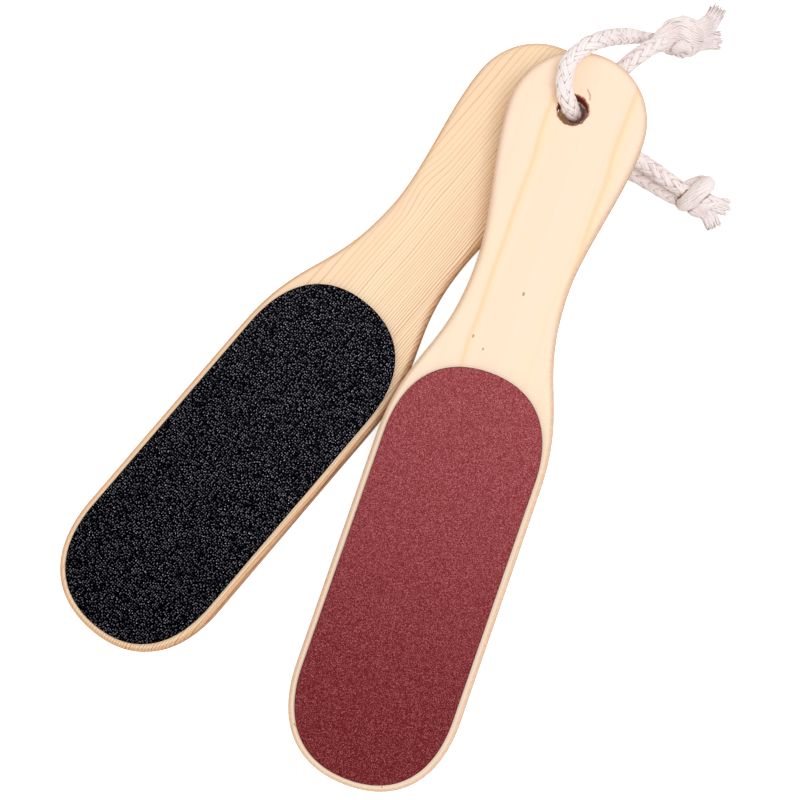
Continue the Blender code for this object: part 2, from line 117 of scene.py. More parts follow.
class Wiring:
    """Adds nodes to one node tree, sets their inputs and links them."""

    def __init__(self, tree: bpy.types.NodeTree) -> None:
        """Start on an empty tree."""
        self.tree = tree
        tree.nodes.clear()

    def feed(self, socket: Socket, value: object) -> None:
        """Link or set one input.

        Args:
            socket: The input.
            value: A socket to link to it, or a plain value.
        """
        if isinstance(value, Socket):
            self.tree.links.new(value, socket)
        else:
            socket.default_value = value

    def add(self, kind: str, inputs: dict | None = None, **settings: object) -> bpy.types.Node:
        """Add a node.

        Args:
            kind: The node's type name, without its ShaderNode prefix.
            inputs: What goes into its sockets, by name or place: a value, or a socket to link.
            settings: The node's own properties, which are set before its inputs.

        Returns:
            The new node.
        """
        full = kind if kind.startswith("Node") else f"ShaderNode{kind}"
        node = self.tree.nodes.new(full)
        for name, value in settings.items():
            setattr(node, name, value)
        for name, value in (inputs or {}).items():
            self.feed(node.inputs[name], value)
        return node

    def attribute(self, name: str, output: str = "Fac") -> Socket:
        """What the mesh tells under this name."""
        return self.add("Attribute", attribute_name=name).outputs[output]

    def math(self, operation: str, first: object, second: object = 0.0) -> Socket:
        """A sum, difference or other figure of two values."""
        return self.add("Math", {0: first, 1: second}, operation=operation).outputs[0]

    def product(self, first: object, *others: object) -> Socket:
        """Values multiplied with each other.

        Args:
            first: The first value.
            others: The others, in the order in which they are multiplied.

        Returns:
            The product.
        """
        for other in others:
            first = self.math("MULTIPLY", first, other)
        return first

    def space(self, operation: str, first: object, second: object = (0.0, 0.0, 0.0)) -> Socket:
        """A difference, length or other figure of two places."""
        outputs = self.add("VectorMath", {0: first, 1: second}, operation=operation).outputs
        return outputs["Vector" if operation in ("SUBTRACT", "MULTIPLY") else "Value"]

    def stretch(self, place: Socket, scale: Point) -> Socket:
        """Coordinates with each axis scaled by its own number."""
        return self.add("Mapping", {"Vector": place, "Scale": scale}).outputs["Vector"]

    def noise(
        self, place: Socket, waves: Point | float, detail: float = 2.0, rough: float = 0.5
    ) -> Socket:
        """A smooth random value over space.

        Args:
            place: The coordinates.
            waves: Waves a metre, or one number of them for each axis.
            detail: How many finer layers it has.
            rough: How strong these are.

        Returns:
            A value from 0 to 1.
        """
        if isinstance(waves, tuple):
            place, waves = self.stretch(place, waves), 1.0
        inputs = {"Vector": place, "Scale": waves, "Detail": detail, "Roughness": rough}
        return self.add("TexNoise", inputs).outputs["Fac"]

    def band(
        self, value: object, low: object, high: object, start: float = 0.0, stop: float = 1.0
    ) -> Socket:
        """Ease a value from one number to another.

        Args:
            value: The value that leads.
            low: Where it starts to count.
            high: Where it stops to count.
            start: What comes out below low.
            stop: What comes out above high.

        Returns:
            The eased value.
        """
        inputs = {
            "Value": value, "From Min": low, "From Max": high, "To Min": start, "To Max": stop,
        }
        node = self.add("MapRange", inputs, interpolation_type="SMOOTHSTEP")
        return node.outputs["Result"]

    def blend(self, share: object, first: object, second: object, kind: str = "RGBA") -> Socket:
        """Go from one colour or value to another.

        Args:
            share: How much of the second there is, from 0 to 1.
            first: The first colour or value, plain or as a socket.
            second: The second.
            kind: RGBA for colours, VALUE for values.

        Returns:
            The blended colour or value.
        """
        node = self.add("Mix", data_type="RGBA" if kind == "RGBA" else "FLOAT")
        wanted = {("Factor", "VALUE"): share, ("A", kind): first, ("B", kind): second}
        for socket in node.inputs:
            value = wanted.get((socket.name, socket.type))
            if value is not None:
                self.feed(socket, (*value, 1.0) if isinstance(value, tuple) else value)
        return next(socket for socket in node.outputs if socket.type == kind)

    def bump(self, height: Socket, distance: float, strength: float) -> Socket:
        """A normal leaned by a height that is given in shares of the distance."""
        inputs = {"Height": height, "Distance": distance, "Strength": strength}
        return self.add("Bump", inputs).outputs["Normal"]

    def surface(self, inputs: dict) -> None:
        """End a material in one Principled shader."""
        shader = self.add("BsdfPrincipled", inputs)
        self.add("OutputMaterial", {"Surface": shader.outputs[0]})

    def seen(self) -> Socket:
        """Where something is seen by the camera, in a reflection or through glass.

        Returns:
            1 for such rays, and 0 for those that only carry light.
        """
        rays = self.add("LightPath").outputs
        direct = self.math("MAXIMUM", rays["Is Camera Ray"], rays["Is Glossy Ray"])
        return self.math("MAXIMUM", direct, rays["Is Transmission Ray"])


def shared_group(
    name: str, inputs: dict[str, str], outputs: tuple[str, ...]
) -> tuple[Wiring, bpy.types.NodeOutputs]:
    """Start a node group with named sockets.

    Args:
        name: The group's name.
        inputs: The kind of each input socket, by its name.
        outputs: The names of the values that it puts out.

    Returns:
        The group's wiring, and the sockets of what goes into it.
    """
    tree = bpy.data.node_groups.new(name, "ShaderNodeTree")
    for label, kind in inputs.items():
        tree.interface.new_socket(label, in_out="INPUT", socket_type=f"NodeSocket{kind}")
    for label in outputs:
        tree.interface.new_socket(label, in_out="OUTPUT", socket_type="NodeSocketFloat")
    wires = Wiring(tree)
    return wires, wires.add("NodeGroupInput").outputs


def growth_lines_group(
    shiver_reach: float = 0.0005, year_drift: float = 1.6, line_close: float = 0.97
) -> bpy.types.NodeTree:
    """Growth rings of a tree cut by a board, which bend aside near a hidden knot of a branch.

    Args:
        shiver_reach: How far the lines shiver.
        year_drift: How unevenly wide the years are, in rings.
        line_close: Where in a year its dark line stops, as a share of the year.

    Returns:
        The group, which puts out the lines, a slow tone, the pores and a number for each ring.
    """
    wires, given = shared_group(
        "growth_lines",
        {
            "Position": "Vector", "Pith": "Vector", "Rings": "Float", "Line": "Float",
            "Waves": "Float", "Branch": "Vector", "Branch Reach": "Float", "Push": "Float",
        },
        ("Lines", "Tone", "Pores", "Ring"),
    )
    place = given["Position"]
    wave = wires.math("SUBTRACT", wires.noise(place, BOARD_WAVES), 0.5)
    shiver = wires.product(wires.noise(place, LINE_SHIVER), shiver_reach)
    shift = wires.math("ADD", wires.product(wave, given["Waves"]), shiver)
    away = wires.space("LENGTH", wires.space("SUBTRACT", place, given["Branch"]))
    share = wires.math("DIVIDE", away, given["Branch Reach"])
    pull = wires.product(wires.band(share, 0.0, 1.0, 1.0, 0.0), given["Push"])
    shift = wires.math("ADD", shift, pull)
    parts = wires.add("SeparateXYZ", {0: wires.space("SUBTRACT", place, given["Pith"])}).outputs
    side = wires.math("ADD", parts["X"], shift)
    section = wires.add("CombineXYZ", {"X": side, "Z": parts["Z"]}).outputs[0]
    radius = wires.space("LENGTH", section)
    outward = wires.add("CombineXYZ", {"X": radius}).outputs[0]
    years = wires.product(wires.noise(outward, YEAR_WAVES), year_drift)
    turns = wires.math("ADD", wires.product(radius, given["Rings"]), years)
    phase = wires.math("FRACT", turns)
    late = wires.band(phase, wires.math("SUBTRACT", 1.0, given["Line"]), line_close)
    close = wires.band(phase, line_close, 1.0, 1.0, 0.0)
    ring = wires.add("TexWhiteNoise", {"W": wires.math("FLOOR", turns)}, noise_dimensions="1D")
    wires.add("NodeGroupOutput", {
        "Lines": wires.product(late, close),
        "Tone": wires.noise(place, WOOD_TONE, 3.0),
        "Pores": wires.noise(place, WOOD_PORES),
        "Ring": ring.outputs["Value"],
    })
    return wires.tree


def grains_group(layer_stray: float = 0.75, cap_share: float = 0.7) -> bpy.types.NodeTree:
    """Crushed abrasive grains: a painted highlight on each, as bright as the grain happens to face.

    With Heaped at 0 the grains lie side by side in one layer. At 1 they are a cut through a heap.

    Args:
        layer_stray: How far the grains of one layer stray from even rows, from 0 to 1.
        cap_share: How far in from its rim a painted highlight comes to its full light.

    Returns:
        The group, which puts out the painted highlights, the rarer painted sparks and the grains'
        height.
    """
    wires, given = shared_group(
        "grains",
        {
            "Position": "Vector", "Grains": "Float", "Heaped": "Float", "Spot": "Float",
            "Contrast": "Float",
        },
        ("Spots", "Sparks", "Height"),
    )
    layer, heap = (
        wires.add(
            "TexVoronoi",
            {"Vector": given["Position"], "Scale": given["Grains"], "Randomness": stray},
            voronoi_dimensions=dimensions,
        ).outputs
        for dimensions, stray in (("2D", layer_stray), ("3D", 1.0))
    )
    heaped = given["Heaped"]
    distance = wires.blend(heaped, layer["Distance"], heap["Distance"], "VALUE")
    chances = wires.blend(heaped, layer["Color"], heap["Color"])
    values = wires.add("SeparateColor", {0: chances}).outputs
    near = wires.math("SUBTRACT", 1.0, wires.math("DIVIDE", distance, given["Spot"]))
    cap = wires.band(near, 0.0, cap_share)
    # Painted highlights: a lit spot on each grain, and rarer sparks
    wires.add("NodeGroupOutput", {
        "Spots": wires.product(cap, wires.math("POWER", values["Red"], given["Contrast"])),
        "Sparks": wires.product(cap, values["Green"]),
        "Height": wires.product(near, values["Blue"]),
    })
    return wires.tree


def new_material(name: str) -> tuple[bpy.types.Material, Wiring]:
    """Start a material.

    Args:
        name: Its name.

    Returns:
        The material and the wiring of its empty node tree.
    """
    material = bpy.data.materials.new(name)
    material.use_nodes = True
    return material, Wiring(material.node_tree)


# Finishes


@dataclass(frozen=True)
class Streak:
    """A soft stain along the grain, with a thin darker line on one side."""

    middle: float
    start: float
    stop: float
    width: float = 0.0026
    fade: float = 0.02
    strength: float = 0.32
    line_strength: float = 0.26
    line_offset: float = 0.25
    line_width: float = 0.48

    def masks(self, wires: Wiring, across: Socket, along: Socket) -> tuple[Socket, Socket]:
        """How strongly the stain and its line show.

        Args:
            wires: The material's wiring.
            across: Places across the file.
            along: Places along the file.

        Returns:
            The shares of the stain's colour and of its line's.
        """
        rise = wires.band(along, self.start - self.fade, self.start)
        fall = wires.band(along, self.stop, self.stop + self.fade, 1.0, 0.0)
        shown = wires.product(rise, fall)
        apart = wires.math("SUBTRACT", across, self.middle)
        offset = wires.math("SUBTRACT", apart, self.width * self.line_offset)
        parts = (
            (apart, self.width, self.strength),
            (offset, self.width * self.line_width, self.line_strength),
        )
        stain, line = (
            wires.product(
                wires.band(wires.math("ABSOLUTE", off), 0.0, width, 1.0, 0.0), shown, strength
            )
            for off, width, strength in parts
        )
        return stain, line


@dataclass(frozen=True)
class Fleck:
    """A small brown spot in the wood, a little longer along the grain than across it."""

    place: Flat
    radius: float
    squeeze: float = 0.6
    core: float = 0.4
    strength: float = 0.8

    def mask(self, wires: Wiring, place: Socket) -> Socket:
        """How strongly the spot shows.

        Args:
            wires: The material's wiring.
            place: Places in the file's own frame.

        Returns:
            The share of its colour.
        """
        flat = wires.stretch(place, (1.0, self.squeeze, 0.0))
        middle = (self.place[0], self.place[1] * self.squeeze, 0.0)
        apart = wires.space("DISTANCE", flat, middle)
        return wires.band(apart, self.radius * self.core, self.radius, self.strength, 0.0)


@dataclass(frozen=True)
class Scratch:
    """A fine straight crack or nick in the wood."""

    start: Flat
    stop: Flat
    width: float = 0.0004
    strength: float = 0.7

    def mask(self, wires: Wiring, place: Socket) -> Socket:
        """How strongly the crack shows.

        Args:
            wires: The material's wiring.
            place: Places in the file's own frame.

        Returns:
            The share of its colour.
        """
        start = Vector((*self.start, 0.0))
        reach = Vector((*self.stop, 0.0)) - start
        apart = wires.space("SUBTRACT", wires.stretch(place, (1.0, 1.0, 0.0)), start)
        along = wires.space("DOT_PRODUCT", apart, tuple(reach / reach.length_squared))
        share = wires.add("Clamp", {"Value": along}).outputs[0]
        step = wires.add("CombineXYZ", {"X": share, "Y": share}).outputs[0]
        off = wires.space("DISTANCE", apart, wires.space("MULTIPLY", step, reach))
        return wires.band(off, 0.0, self.width, self.strength, 0.0)


@dataclass(frozen=True)
class PineFinish:
    """Bare sanded pine, with growth lines, stains, flecks, browner edges that are partly painted
    shade, a painted shade line at their foot and a scorched bore.
    """

    name: str
    early_wood: Colour
    late_wood: Colour
    warm_wood: Colour
    wall: Colour
    dark_brown_and_shade: Colour
    bore: Colour
    stain: Colour
    stain_line: Colour
    rim_start: float
    pith: Point
    rings_per_metre: float
    line_share: float
    line_strength: float
    # How much darker the lines grow towards +X, partly painted shade; it also sets how warm the
    # other side is
    line_lean: float
    waves: float
    branch: Point
    branch_reach: float
    branch_push: float
    tone_strength: float
    streaks: tuple[Streak, ...] = ()
    flecks: tuple[Fleck, ...] = ()
    scratches: tuple[Scratch, ...] = ()
    roughness: float = 0.62
    gloss: float = 0.1
    line_flatness: float = 0.25
    faintest_line: float = 0.6
    lean_reach: float = 0.017
    tone_range: Flat = (0.38, 0.68)
    sawn_range: Flat = (0.35, 0.7)
    warm_side: Flat = (-0.019, -0.008)
    warm_share: float = 1.4
    streak_drift: float = 0.0035
    sawn_strength: float = 0.22
    head_end: float = 0.04
    handle_start: float = 0.11
    head_spread: float = 0.14
    handle_spread: float = 0.50
    wall_strength: float = 0.85
    rim_stop: float = 0.92
    rim_strength: float = 0.60
    rim_middle: float = 0.65
    rim_middle_height: float = 0.0022
    pore_share: float = 0.6
    bump_depth: float = 0.00005
    bump_strength: float = 0.5

    def build(self, growth_lines: bpy.types.NodeTree) -> bpy.types.Material:
        """The material, for a mesh that keeps its places in its file's own frame.

        Args:
            growth_lines: The shared group of growth lines.

        Returns:
            The material.
        """
        material, wires = new_material(self.name)
        place = wires.attribute(FILE_PLACE, "Vector")
        parts = wires.add("SeparateXYZ", {0: place}).outputs
        lines = wires.add("Group", {
            "Position": wires.stretch(place, (1.0, 1.0, self.line_flatness)),
            "Pith": self.pith,
            "Rings": self.rings_per_metre,
            "Line": self.line_share,
            "Waves": self.waves,
            "Branch": self.branch,
            "Branch Reach": self.branch_reach,
            "Push": self.branch_push,
        }, node_tree=growth_lines).outputs
        faintest = self.faintest_line * self.line_strength
        weight = wires.band(lines["Ring"], 0.0, 1.0, faintest, self.line_strength)
        # Painted shade: the lines grow darker towards +X, partly the wood's own stronger lines,
        # partly where the front file lies over the rear one
        lightest, darkest = 1.0 - self.line_lean, 1.0 + self.line_lean
        lean = wires.band(parts["X"], -self.lean_reach, self.lean_reach, lightest, darkest)
        drawn = wires.product(lines["Lines"], wires.product(weight, lean))
        colour = self.face(wires, place, parts, lines["Tone"], drawn)
        colour = self.walled(wires, place, parts, drawn, colour)
        height = wires.math("ADD", wires.product(lines["Pores"], self.pore_share), lines["Lines"])
        wires.surface({
            "Base Color": wires.blend(wires.attribute(BORE), colour, self.bore),
            "Roughness": self.roughness,
            "Specular IOR Level": self.gloss,
            "Normal": wires.bump(height, self.bump_depth, self.bump_strength),
        })
        return material

    def face(
        self, wires: Wiring, place: Socket, parts: bpy.types.NodeOutputs, tone: Socket,
        drawn: Socket,
    ) -> Socket:
        """The colour of the flat faces, with growth lines, stains and marks.

        Args:
            wires: The material's wiring.
            place: Places in the file's own frame.
            parts: The same, each axis on its own.
            tone: The slow change from early to warm wood.
            drawn: How strongly the growth lines show.

        Returns:
            The colour.
        """
        warmth = wires.product(wires.band(tone, *self.tone_range), self.tone_strength)
        side = wires.band(parts["X"], *self.warm_side, self.warm_share * self.line_lean, 0.0)
        warmth = wires.math("MAXIMUM", warmth, side)
        colour = wires.blend(warmth, self.early_wood, self.warm_wood)
        wander = wires.math("SUBTRACT", wires.noise(place, STREAK_WANDER), 0.5)
        across = wires.math("ADD", parts["X"], wires.product(wander, self.streak_drift))
        for streak in self.streaks:
            stain, line = streak.masks(wires, across, parts["Y"])
            colour = wires.blend(stain, colour, self.stain)
            colour = wires.blend(line, colour, self.stain_line)
        colour = wires.blend(drawn, colour, self.late_wood)
        for mark in (*self.flecks, *self.scratches):
            colour = wires.blend(mark.mask(wires, place), colour, self.dark_brown_and_shade)
        return colour

    def walled(
        self, wires: Wiring, place: Socket, parts: bpy.types.NodeOutputs, drawn: Socket,
        colour: Socket,
    ) -> Socket:
        """The colour with the browner side walls, partly the wood's own tone and partly painted
        shade, and a painted shade line at their foot.

        Args:
            wires: The material's wiring.
            place: Places in the file's own frame.
            parts: The same, each axis on its own.
            drawn: How strongly the growth lines show.
            colour: The colour of the flat faces.

        Returns:
            The colour all over.
        """
        edge = wires.attribute(EDGE)
        sawn = wires.band(wires.noise(place, SAWN_WALL), *self.sawn_range)
        wall = wires.blend(wires.product(sawn, self.sawn_strength), self.wall, self.dark_brown_and_shade)
        wall = wires.blend(drawn, wall, self.dark_brown_and_shade)
        spread = wires.band(
            parts["Y"], self.head_end, self.handle_start, self.head_spread, self.handle_spread
        )
        # Browner walls: partly the wood's own edge tone, partly painted shade
        colour = wires.blend(wires.band(edge, 0.0, spread, 0.0, self.wall_strength), colour, wall)
        # Painted shade: a dark line low on the rounded edge, lighter in the middle of the wall
        rim = wires.band(edge, self.rim_start, self.rim_stop, 0.0, self.rim_strength)
        height = wires.math("ABSOLUTE", parts["Z"])
        middle = wires.band(height, 0.0, self.rim_middle_height, self.rim_middle, 1.0)
        return wires.blend(wires.product(rim, middle), colour, self.dark_brown_and_shade)


@dataclass(frozen=True)
class GritFinish:
    """Crushed abrasive on a cloth back: resin between grains with painted highlights, painted light
    towards the handle and painted shade on the cut edge.
    """

    name: str
    near_resin: Colour
    far_resin: Colour
    near_glint: Colour
    far_glint: Colour
    spark: Colour
    cut_edge_shade: Colour
    grains_per_metre: float
    heaped: float
    spot: float
    contrast: float
    spark_share: float
    roughness: float
    near_end: float = -0.085
    far_end: float = 0.085
    cut_range: Flat = (0.35, 1.0)
    cut_strength: float = 0.85
    bump_depth: float = 0.0002
    bump_strength: float = 0.6

    def build(self, grains: bpy.types.NodeTree) -> bpy.types.Material:
        """The material, for a mesh that keeps its places in its file's own frame.

        Args:
            grains: The shared group of grains.

        Returns:
            The material.
        """
        material, wires = new_material(self.name)
        place = wires.attribute(FILE_PLACE, "Vector")
        cells = wires.add("Group", {
            "Position": place,
            "Grains": self.grains_per_metre,
            "Heaped": self.heaped,
            "Spot": self.spot,
            "Contrast": self.contrast,
        }, node_tree=grains).outputs
        along = wires.add("SeparateXYZ", {0: place}).outputs["Y"]
        # Painted light: the sheet grows lighter from the toe towards the handle
        painted_light_share = wires.band(along, self.near_end, self.far_end)
        resin = wires.blend(painted_light_share, self.near_resin, self.far_resin)
        glint = wires.blend(painted_light_share, self.near_glint, self.far_glint)
        # Painted highlights: a lit spot on each grain, and rarer bright sparks
        colour = wires.blend(cells["Spots"], resin, glint)
        bright = wires.band(cells["Sparks"], 1.0 - self.spark_share, 1.0)
        colour = wires.blend(bright, colour, self.spark)
        # Painted shade: darker on the raised cut edge of the sheet
        cut = wires.band(wires.attribute(CUT_EDGE), *self.cut_range, 0.0, self.cut_strength)
        wires.surface({
            "Base Color": wires.blend(cut, colour, self.cut_edge_shade),
            "Roughness": self.roughness,
            "Specular IOR Level": 0.0,
            "Normal": wires.bump(cells["Height"], self.bump_depth, self.bump_strength),
        })
        return material


@dataclass(frozen=True)
class CottonFinish:
    """Undyed cotton yarn: soft, with fibres along it, and painted shade in the furrows between and
    under its yarns.
    """

    name: str
    yarn: Colour
    crevice_shade: Colour
    fibre: Colour
    deep_shade: Colour
    hair_strength: float
    hair_width: float = 0.020
    fibre_range: Flat = (0.3, 0.75)
    tone_range: Flat = (0.4, 0.8)
    tone_strength: float = 0.4
    crevice_shade_range: Flat = (0.05, 0.30)
    deep_shade_range: Flat = (0.70, 0.88)
    depth_strength: float = 0.8
    roughness: float = 0.95
    sheen: float = 0.15
    bump_depth: float = 0.00008
    bump_strength: float = 0.7

    def build(self) -> bpy.types.Material:
        """The material, for yarns whose UV map runs along and round them in metres and turns.

        Returns:
            The material.
        """
        material, wires = new_material(self.name)
        along = wires.add("UVMap", uv_map=YARN_MAP).outputs["UV"]
        fibres = wires.noise(along, YARN_FIBRES, 3.0, 0.65)
        colour = wires.blend(wires.band(fibres, *self.fibre_range), self.fibre, self.yarn)
        slow = wires.noise(wires.add("TexCoord").outputs["Object"], COTTON_TONE)
        pale = wires.band(slow, *self.tone_range, 0.0, self.tone_strength)
        colour = wires.blend(pale, colour, self.fibre)
        # Painted shade: thin dark lines for the shaded gaps between fibres
        splits = wires.math("SUBTRACT", wires.noise(along, YARN_HAIRS), 0.5)
        fibre_gap_shade = wires.band(
            wires.math("ABSOLUTE", splits), 0.0, self.hair_width, self.hair_strength, 0.0
        )
        colour = wires.blend(fibre_gap_shade, colour, self.crevice_shade)
        # Painted shade: darker between and under the yarns and in creases
        depth = wires.attribute(CREVICE_SHADE)
        crevice_shading = wires.band(depth, *self.crevice_shade_range, 0.0, self.depth_strength)
        colour = wires.blend(crevice_shading, colour, self.crevice_shade)
        # Painted shade: the deepest crevices and the loop inside the hole turn dark brown
        deeply_shaded = wires.band(depth, *self.deep_shade_range, 0.0, self.depth_strength)
        wires.surface({
            "Base Color": wires.blend(deeply_shaded, colour, self.deep_shade),
            "Roughness": self.roughness,
            "Sheen Weight": self.sheen,
            "Normal": wires.bump(fibres, self.bump_depth, self.bump_strength),
        })
        return material


@dataclass(frozen=True)
class GlueFinish:
    """Set glue in a thin film, cream and slightly glossy, with trapped bubbles."""

    name: str
    body: Colour
    thin: Colour
    roughness: float = 0.35
    blot_range: Flat = (0.4, 0.65)
    bump_depth: float = 0.00005
    bump_strength: float = 0.4

    def build(self) -> bpy.types.Material:
        """The material, for a film that carries its CAD mesh.

        Returns:
            The material.
        """
        material, wires = new_material(self.name)
        blots = wires.noise(wires.add("TexCoord").outputs["Object"], GLUE_BLOTS, 3.0)
        wires.surface({
            "Base Color": wires.blend(wires.band(blots, *self.blot_range), self.body, self.thin),
            "Roughness": self.roughness,
            "Normal": wires.bump(blots, self.bump_depth, self.bump_strength),
        })
        return material


# Shapes shared by both files


def closed_outline(right: list[Corner]) -> list[Corner]:
    """A closed outline from its right side, which the left side mirrors.

    Args:
        right: Corners from the lowest to the highest on the middle line, each a place with the
            ends of its handles before and after it.

    Returns:
        The corners all the way round.
    """
    left = [
        tuple((-x, y) for x, y in (place, after, before))
        for place, before, after in reversed(right[1:-1])
    ]
    return right + left


def outline_points(corners: list[Corner], steps: int) -> list[Vector]:
    """Points along a closed outline.

    Args:
        corners: The outline's corners with their handles.
        steps: How many points each rounded stretch gets.

    Returns:
        The points, with only its start for each straight stretch.
    """
    points = []
    for (start, _, after), (end, before, _) in zip(corners, corners[1:] + corners[:1]):
        if after == start and before == end:
            points.append(Vector(start))
            continue
        handles = [Vector((*flat, 0.0)) for flat in (start, after, before, end)]
        points += [p.xy for p in interpolate_bezier(*handles, steps + 1)[:-1]]
    return points


@dataclass(frozen=True)
class PaddleShape:
    """Sizes of the wooden paddle, with stations measured from the tip of the head."""

    length: float = 0.2672
    head_width: float = 0.0600
    nose_length: float = 0.0337
    shoulder_station: float = 0.1160
    waist_station: float = 0.1853
    waist_width: float = 0.0339
    handle_width: float = 0.0493
    handle_round: float = 0.0253
    nose_share: float = 0.637
    round_share: float = 0.560
    shoulder_share: float = 0.474
    neck_share: float = 0.500
    flank_share: float = 0.281
    crest_share: float = 0.312
    thickness: float = 0.0090
    head_edge_radius: float = 0.0020
    handle_edge_radius: float = 0.0034
    hole_diameter: float = 0.0103
    hole_to_end: float = 0.0219
    hole_offset: float = 0.0023
    hole_rim_radius: float = 0.0010
    pad_length: float = 0.1470
    pad_margin: float = 0.0026
    coarse_thickness: float = 0.0009
    fine_thickness: float = 0.0007
    glue_thickness: float = 0.0002
    fit_gap: float = 0.0003

    @property
    def tip(self) -> float:
        """The place of the head's tip along the file."""
        return -(self.pad_margin + self.pad_length / 2)

    @property
    def end(self) -> float:
        """The place of the handle's end along the file."""
        return self.tip + self.length

    @property
    def hole(self) -> Vector:
        """The middle of the hang hole."""
        return Vector((self.hole_offset, self.end - self.hole_to_end, 0.0))

    @property
    def seat(self) -> float:
        """How far the underside of a sheet is from the wood's middle."""
        return self.thickness / 2 + self.glue_thickness + 2 * self.fit_gap

    def face(self, grade: Grade) -> float:
        """How far the rubbing face of one grade is from the wood's middle."""
        sheet = self.coarse_thickness if grade is Grade.COARSE else self.fine_thickness
        return self.seat + sheet

    def edge_radius(self, y: float) -> float:
        """The rounding of the edges, which grows from the shoulder to the waist.

        Args:
            y: A place along the file.

        Returns:
            The radius there.
        """
        start, stop = self.tip + self.shoulder_station, self.tip + self.waist_station
        along = min(max((y - start) / (stop - start), 0.0), 1.0)
        blend = along * along * (3 - 2 * along)
        return self.head_edge_radius + (self.handle_edge_radius - self.head_edge_radius) * blend

    def paddle_corners(self) -> list[Corner]:
        """The paddle from above: nose, straight head, shoulder, waist, flank, round handle end.

        Returns:
            The outline's corners with their handles.
        """
        head, waist, handle = self.head_width / 2, self.waist_width / 2, self.handle_width / 2
        tip, end = self.tip, self.end
        side_y = tip + self.nose_length
        shoulder_y = tip + self.shoulder_station
        waist_y = tip + self.waist_station
        crest_y = end - self.handle_round
        nose = self.nose_length * self.nose_share
        shoulder = (waist_y - shoulder_y) * self.shoulder_share
        neck = (waist_y - shoulder_y) * self.neck_share
        flank = (crest_y - waist_y) * self.flank_share
        crest = (crest_y - waist_y) * self.crest_share
        rounding = self.handle_round * self.round_share
        tip_reach, end_reach = head * self.nose_share, handle * self.round_share
        return closed_outline([
            ((0.0, tip), (-tip_reach, tip), (tip_reach, tip)),
            ((head, side_y), (head, side_y - nose), (head, side_y)),
            ((head, shoulder_y), (head, shoulder_y), (head, shoulder_y + shoulder)),
            ((waist, waist_y), (waist, waist_y - neck), (waist, waist_y + flank)),
            ((handle, crest_y), (handle, crest_y - crest), (handle, crest_y + rounding)),
            ((0.0, end), (end_reach, end), (-end_reach, end)),
        ])

    def pad_corners(self) -> list[Corner]:
        """The pad from above: the head's nose at both ends of a straight strip.

        Returns:
            The outline's corners with their handles.
        """
        half = self.head_width / 2 - self.pad_margin
        reach = self.pad_length / 2
        length = self.nose_length - self.pad_margin
        side = reach - length
        nose, tip = length * self.nose_share, half * self.nose_share
        return closed_outline([
            ((0.0, -reach), (-tip, -reach), (tip, -reach)),
            ((half, -side), (half, -side - nose), (half, -side)),
            ((half, side), (half, side), (half, side + nose)),
            ((0.0, reach), (tip, reach), (-tip, reach)),
        ])


def file_frame(side: Side, shape: PaddleShape) -> Matrix:
    """Where a file lies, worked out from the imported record.

    Args:
        side: Which file.
        shape: Its sizes.

    Returns:
        The matrix from the file's own frame to the pair's.
    """
    record = frame["record"]
    mounts = {mount["name"]: mount for mount in record["mounts"]}
    joints = {joint["name"]: joint for joint in record["behaviour"]["joints"]}
    grade = Grade.COARSE if side is Side.REAR else Grade.FINE
    face = mounts[f"{side.value}_{grade.value}_face"]
    outward = Vector(face["axis"]).normalized()
    origin = Vector(face["pos_m"]) - outward * shape.face(grade)
    up = outward if grade is Grade.COARSE else -outward
    reach = Vector(joints[f"{side.value}_cord_swing"]["pos_m"]) - origin
    along = reach * shape.hole.y + up.cross(reach) * shape.hole.x
    along = (along - up * along.dot(up)).normalized()
    placed = Matrix((along.cross(up), along, up)).transposed().to_4x4()
    placed.translation = origin
    return placed


def new_object(name: str, data: bpy.types.ID) -> bpy.types.Object:
    """Put an object in the scene.

    Args:
        name: Its name.
        data: Its mesh, curve, camera or lamp.

    Returns:
        The object.
    """
    made = bpy.data.objects.new(name, data)
    bpy.context.scene.collection.objects.link(made)
    return made


def evaluated_mesh(drawn: bpy.types.Object) -> bpy.types.Mesh:
    """What an object shows with its curve filled or its modifiers at work.

    Args:
        drawn: The object.

    Returns:
        A new mesh.
    """
    bpy.context.view_layer.update()
    seen = drawn.evaluated_get(bpy.context.evaluated_depsgraph_get())
    return bpy.data.meshes.new_from_object(seen)


def solid_from_curve(drawn: bpy.types.Object, name: str) -> bpy.types.Object:
    """Swap a curve object for a mesh object with its caps welded on.

    Args:
        drawn: The curve object, which is removed.
        name: The name of the new object and its mesh.

    Returns:
        The new object.
    """
    mesh = evaluated_mesh(drawn)
    mesh.name = name
    work = bmesh.new()
    work.from_mesh(mesh)
    bmesh.ops.remove_doubles(work, verts=work.verts, dist=WELD_DISTANCE)
    bmesh.ops.recalc_face_normals(work, faces=work.faces)
    work.to_mesh(mesh)
    work.free()
    bpy.data.objects.remove(drawn, do_unlink=True)
    return new_object(name, mesh)


def apply_modifiers(piece: bpy.types.Object) -> None:
    """Make what an object's modifiers show into its own mesh.

    Args:
        piece: The object.
    """
    mesh = evaluated_mesh(piece)
    piece.modifiers.clear()
    piece.data = mesh


def settle(piece: bpy.types.Object, placed: Matrix) -> None:
    """Move a mesh from its file's frame to the pair's, and keep the old places for its finish.

    Args:
        piece: The object whose mesh is moved.
        placed: Where the file lies.
    """
    mesh = piece.data
    places = np.empty(3 * len(mesh.vertices), np.float32)
    mesh.vertices.foreach_get("co", places)
    mesh.attributes.new(FILE_PLACE, "FLOAT_VECTOR", "POINT").data.foreach_set("vector", places)
    mesh.transform(placed)


# The wooden paddle


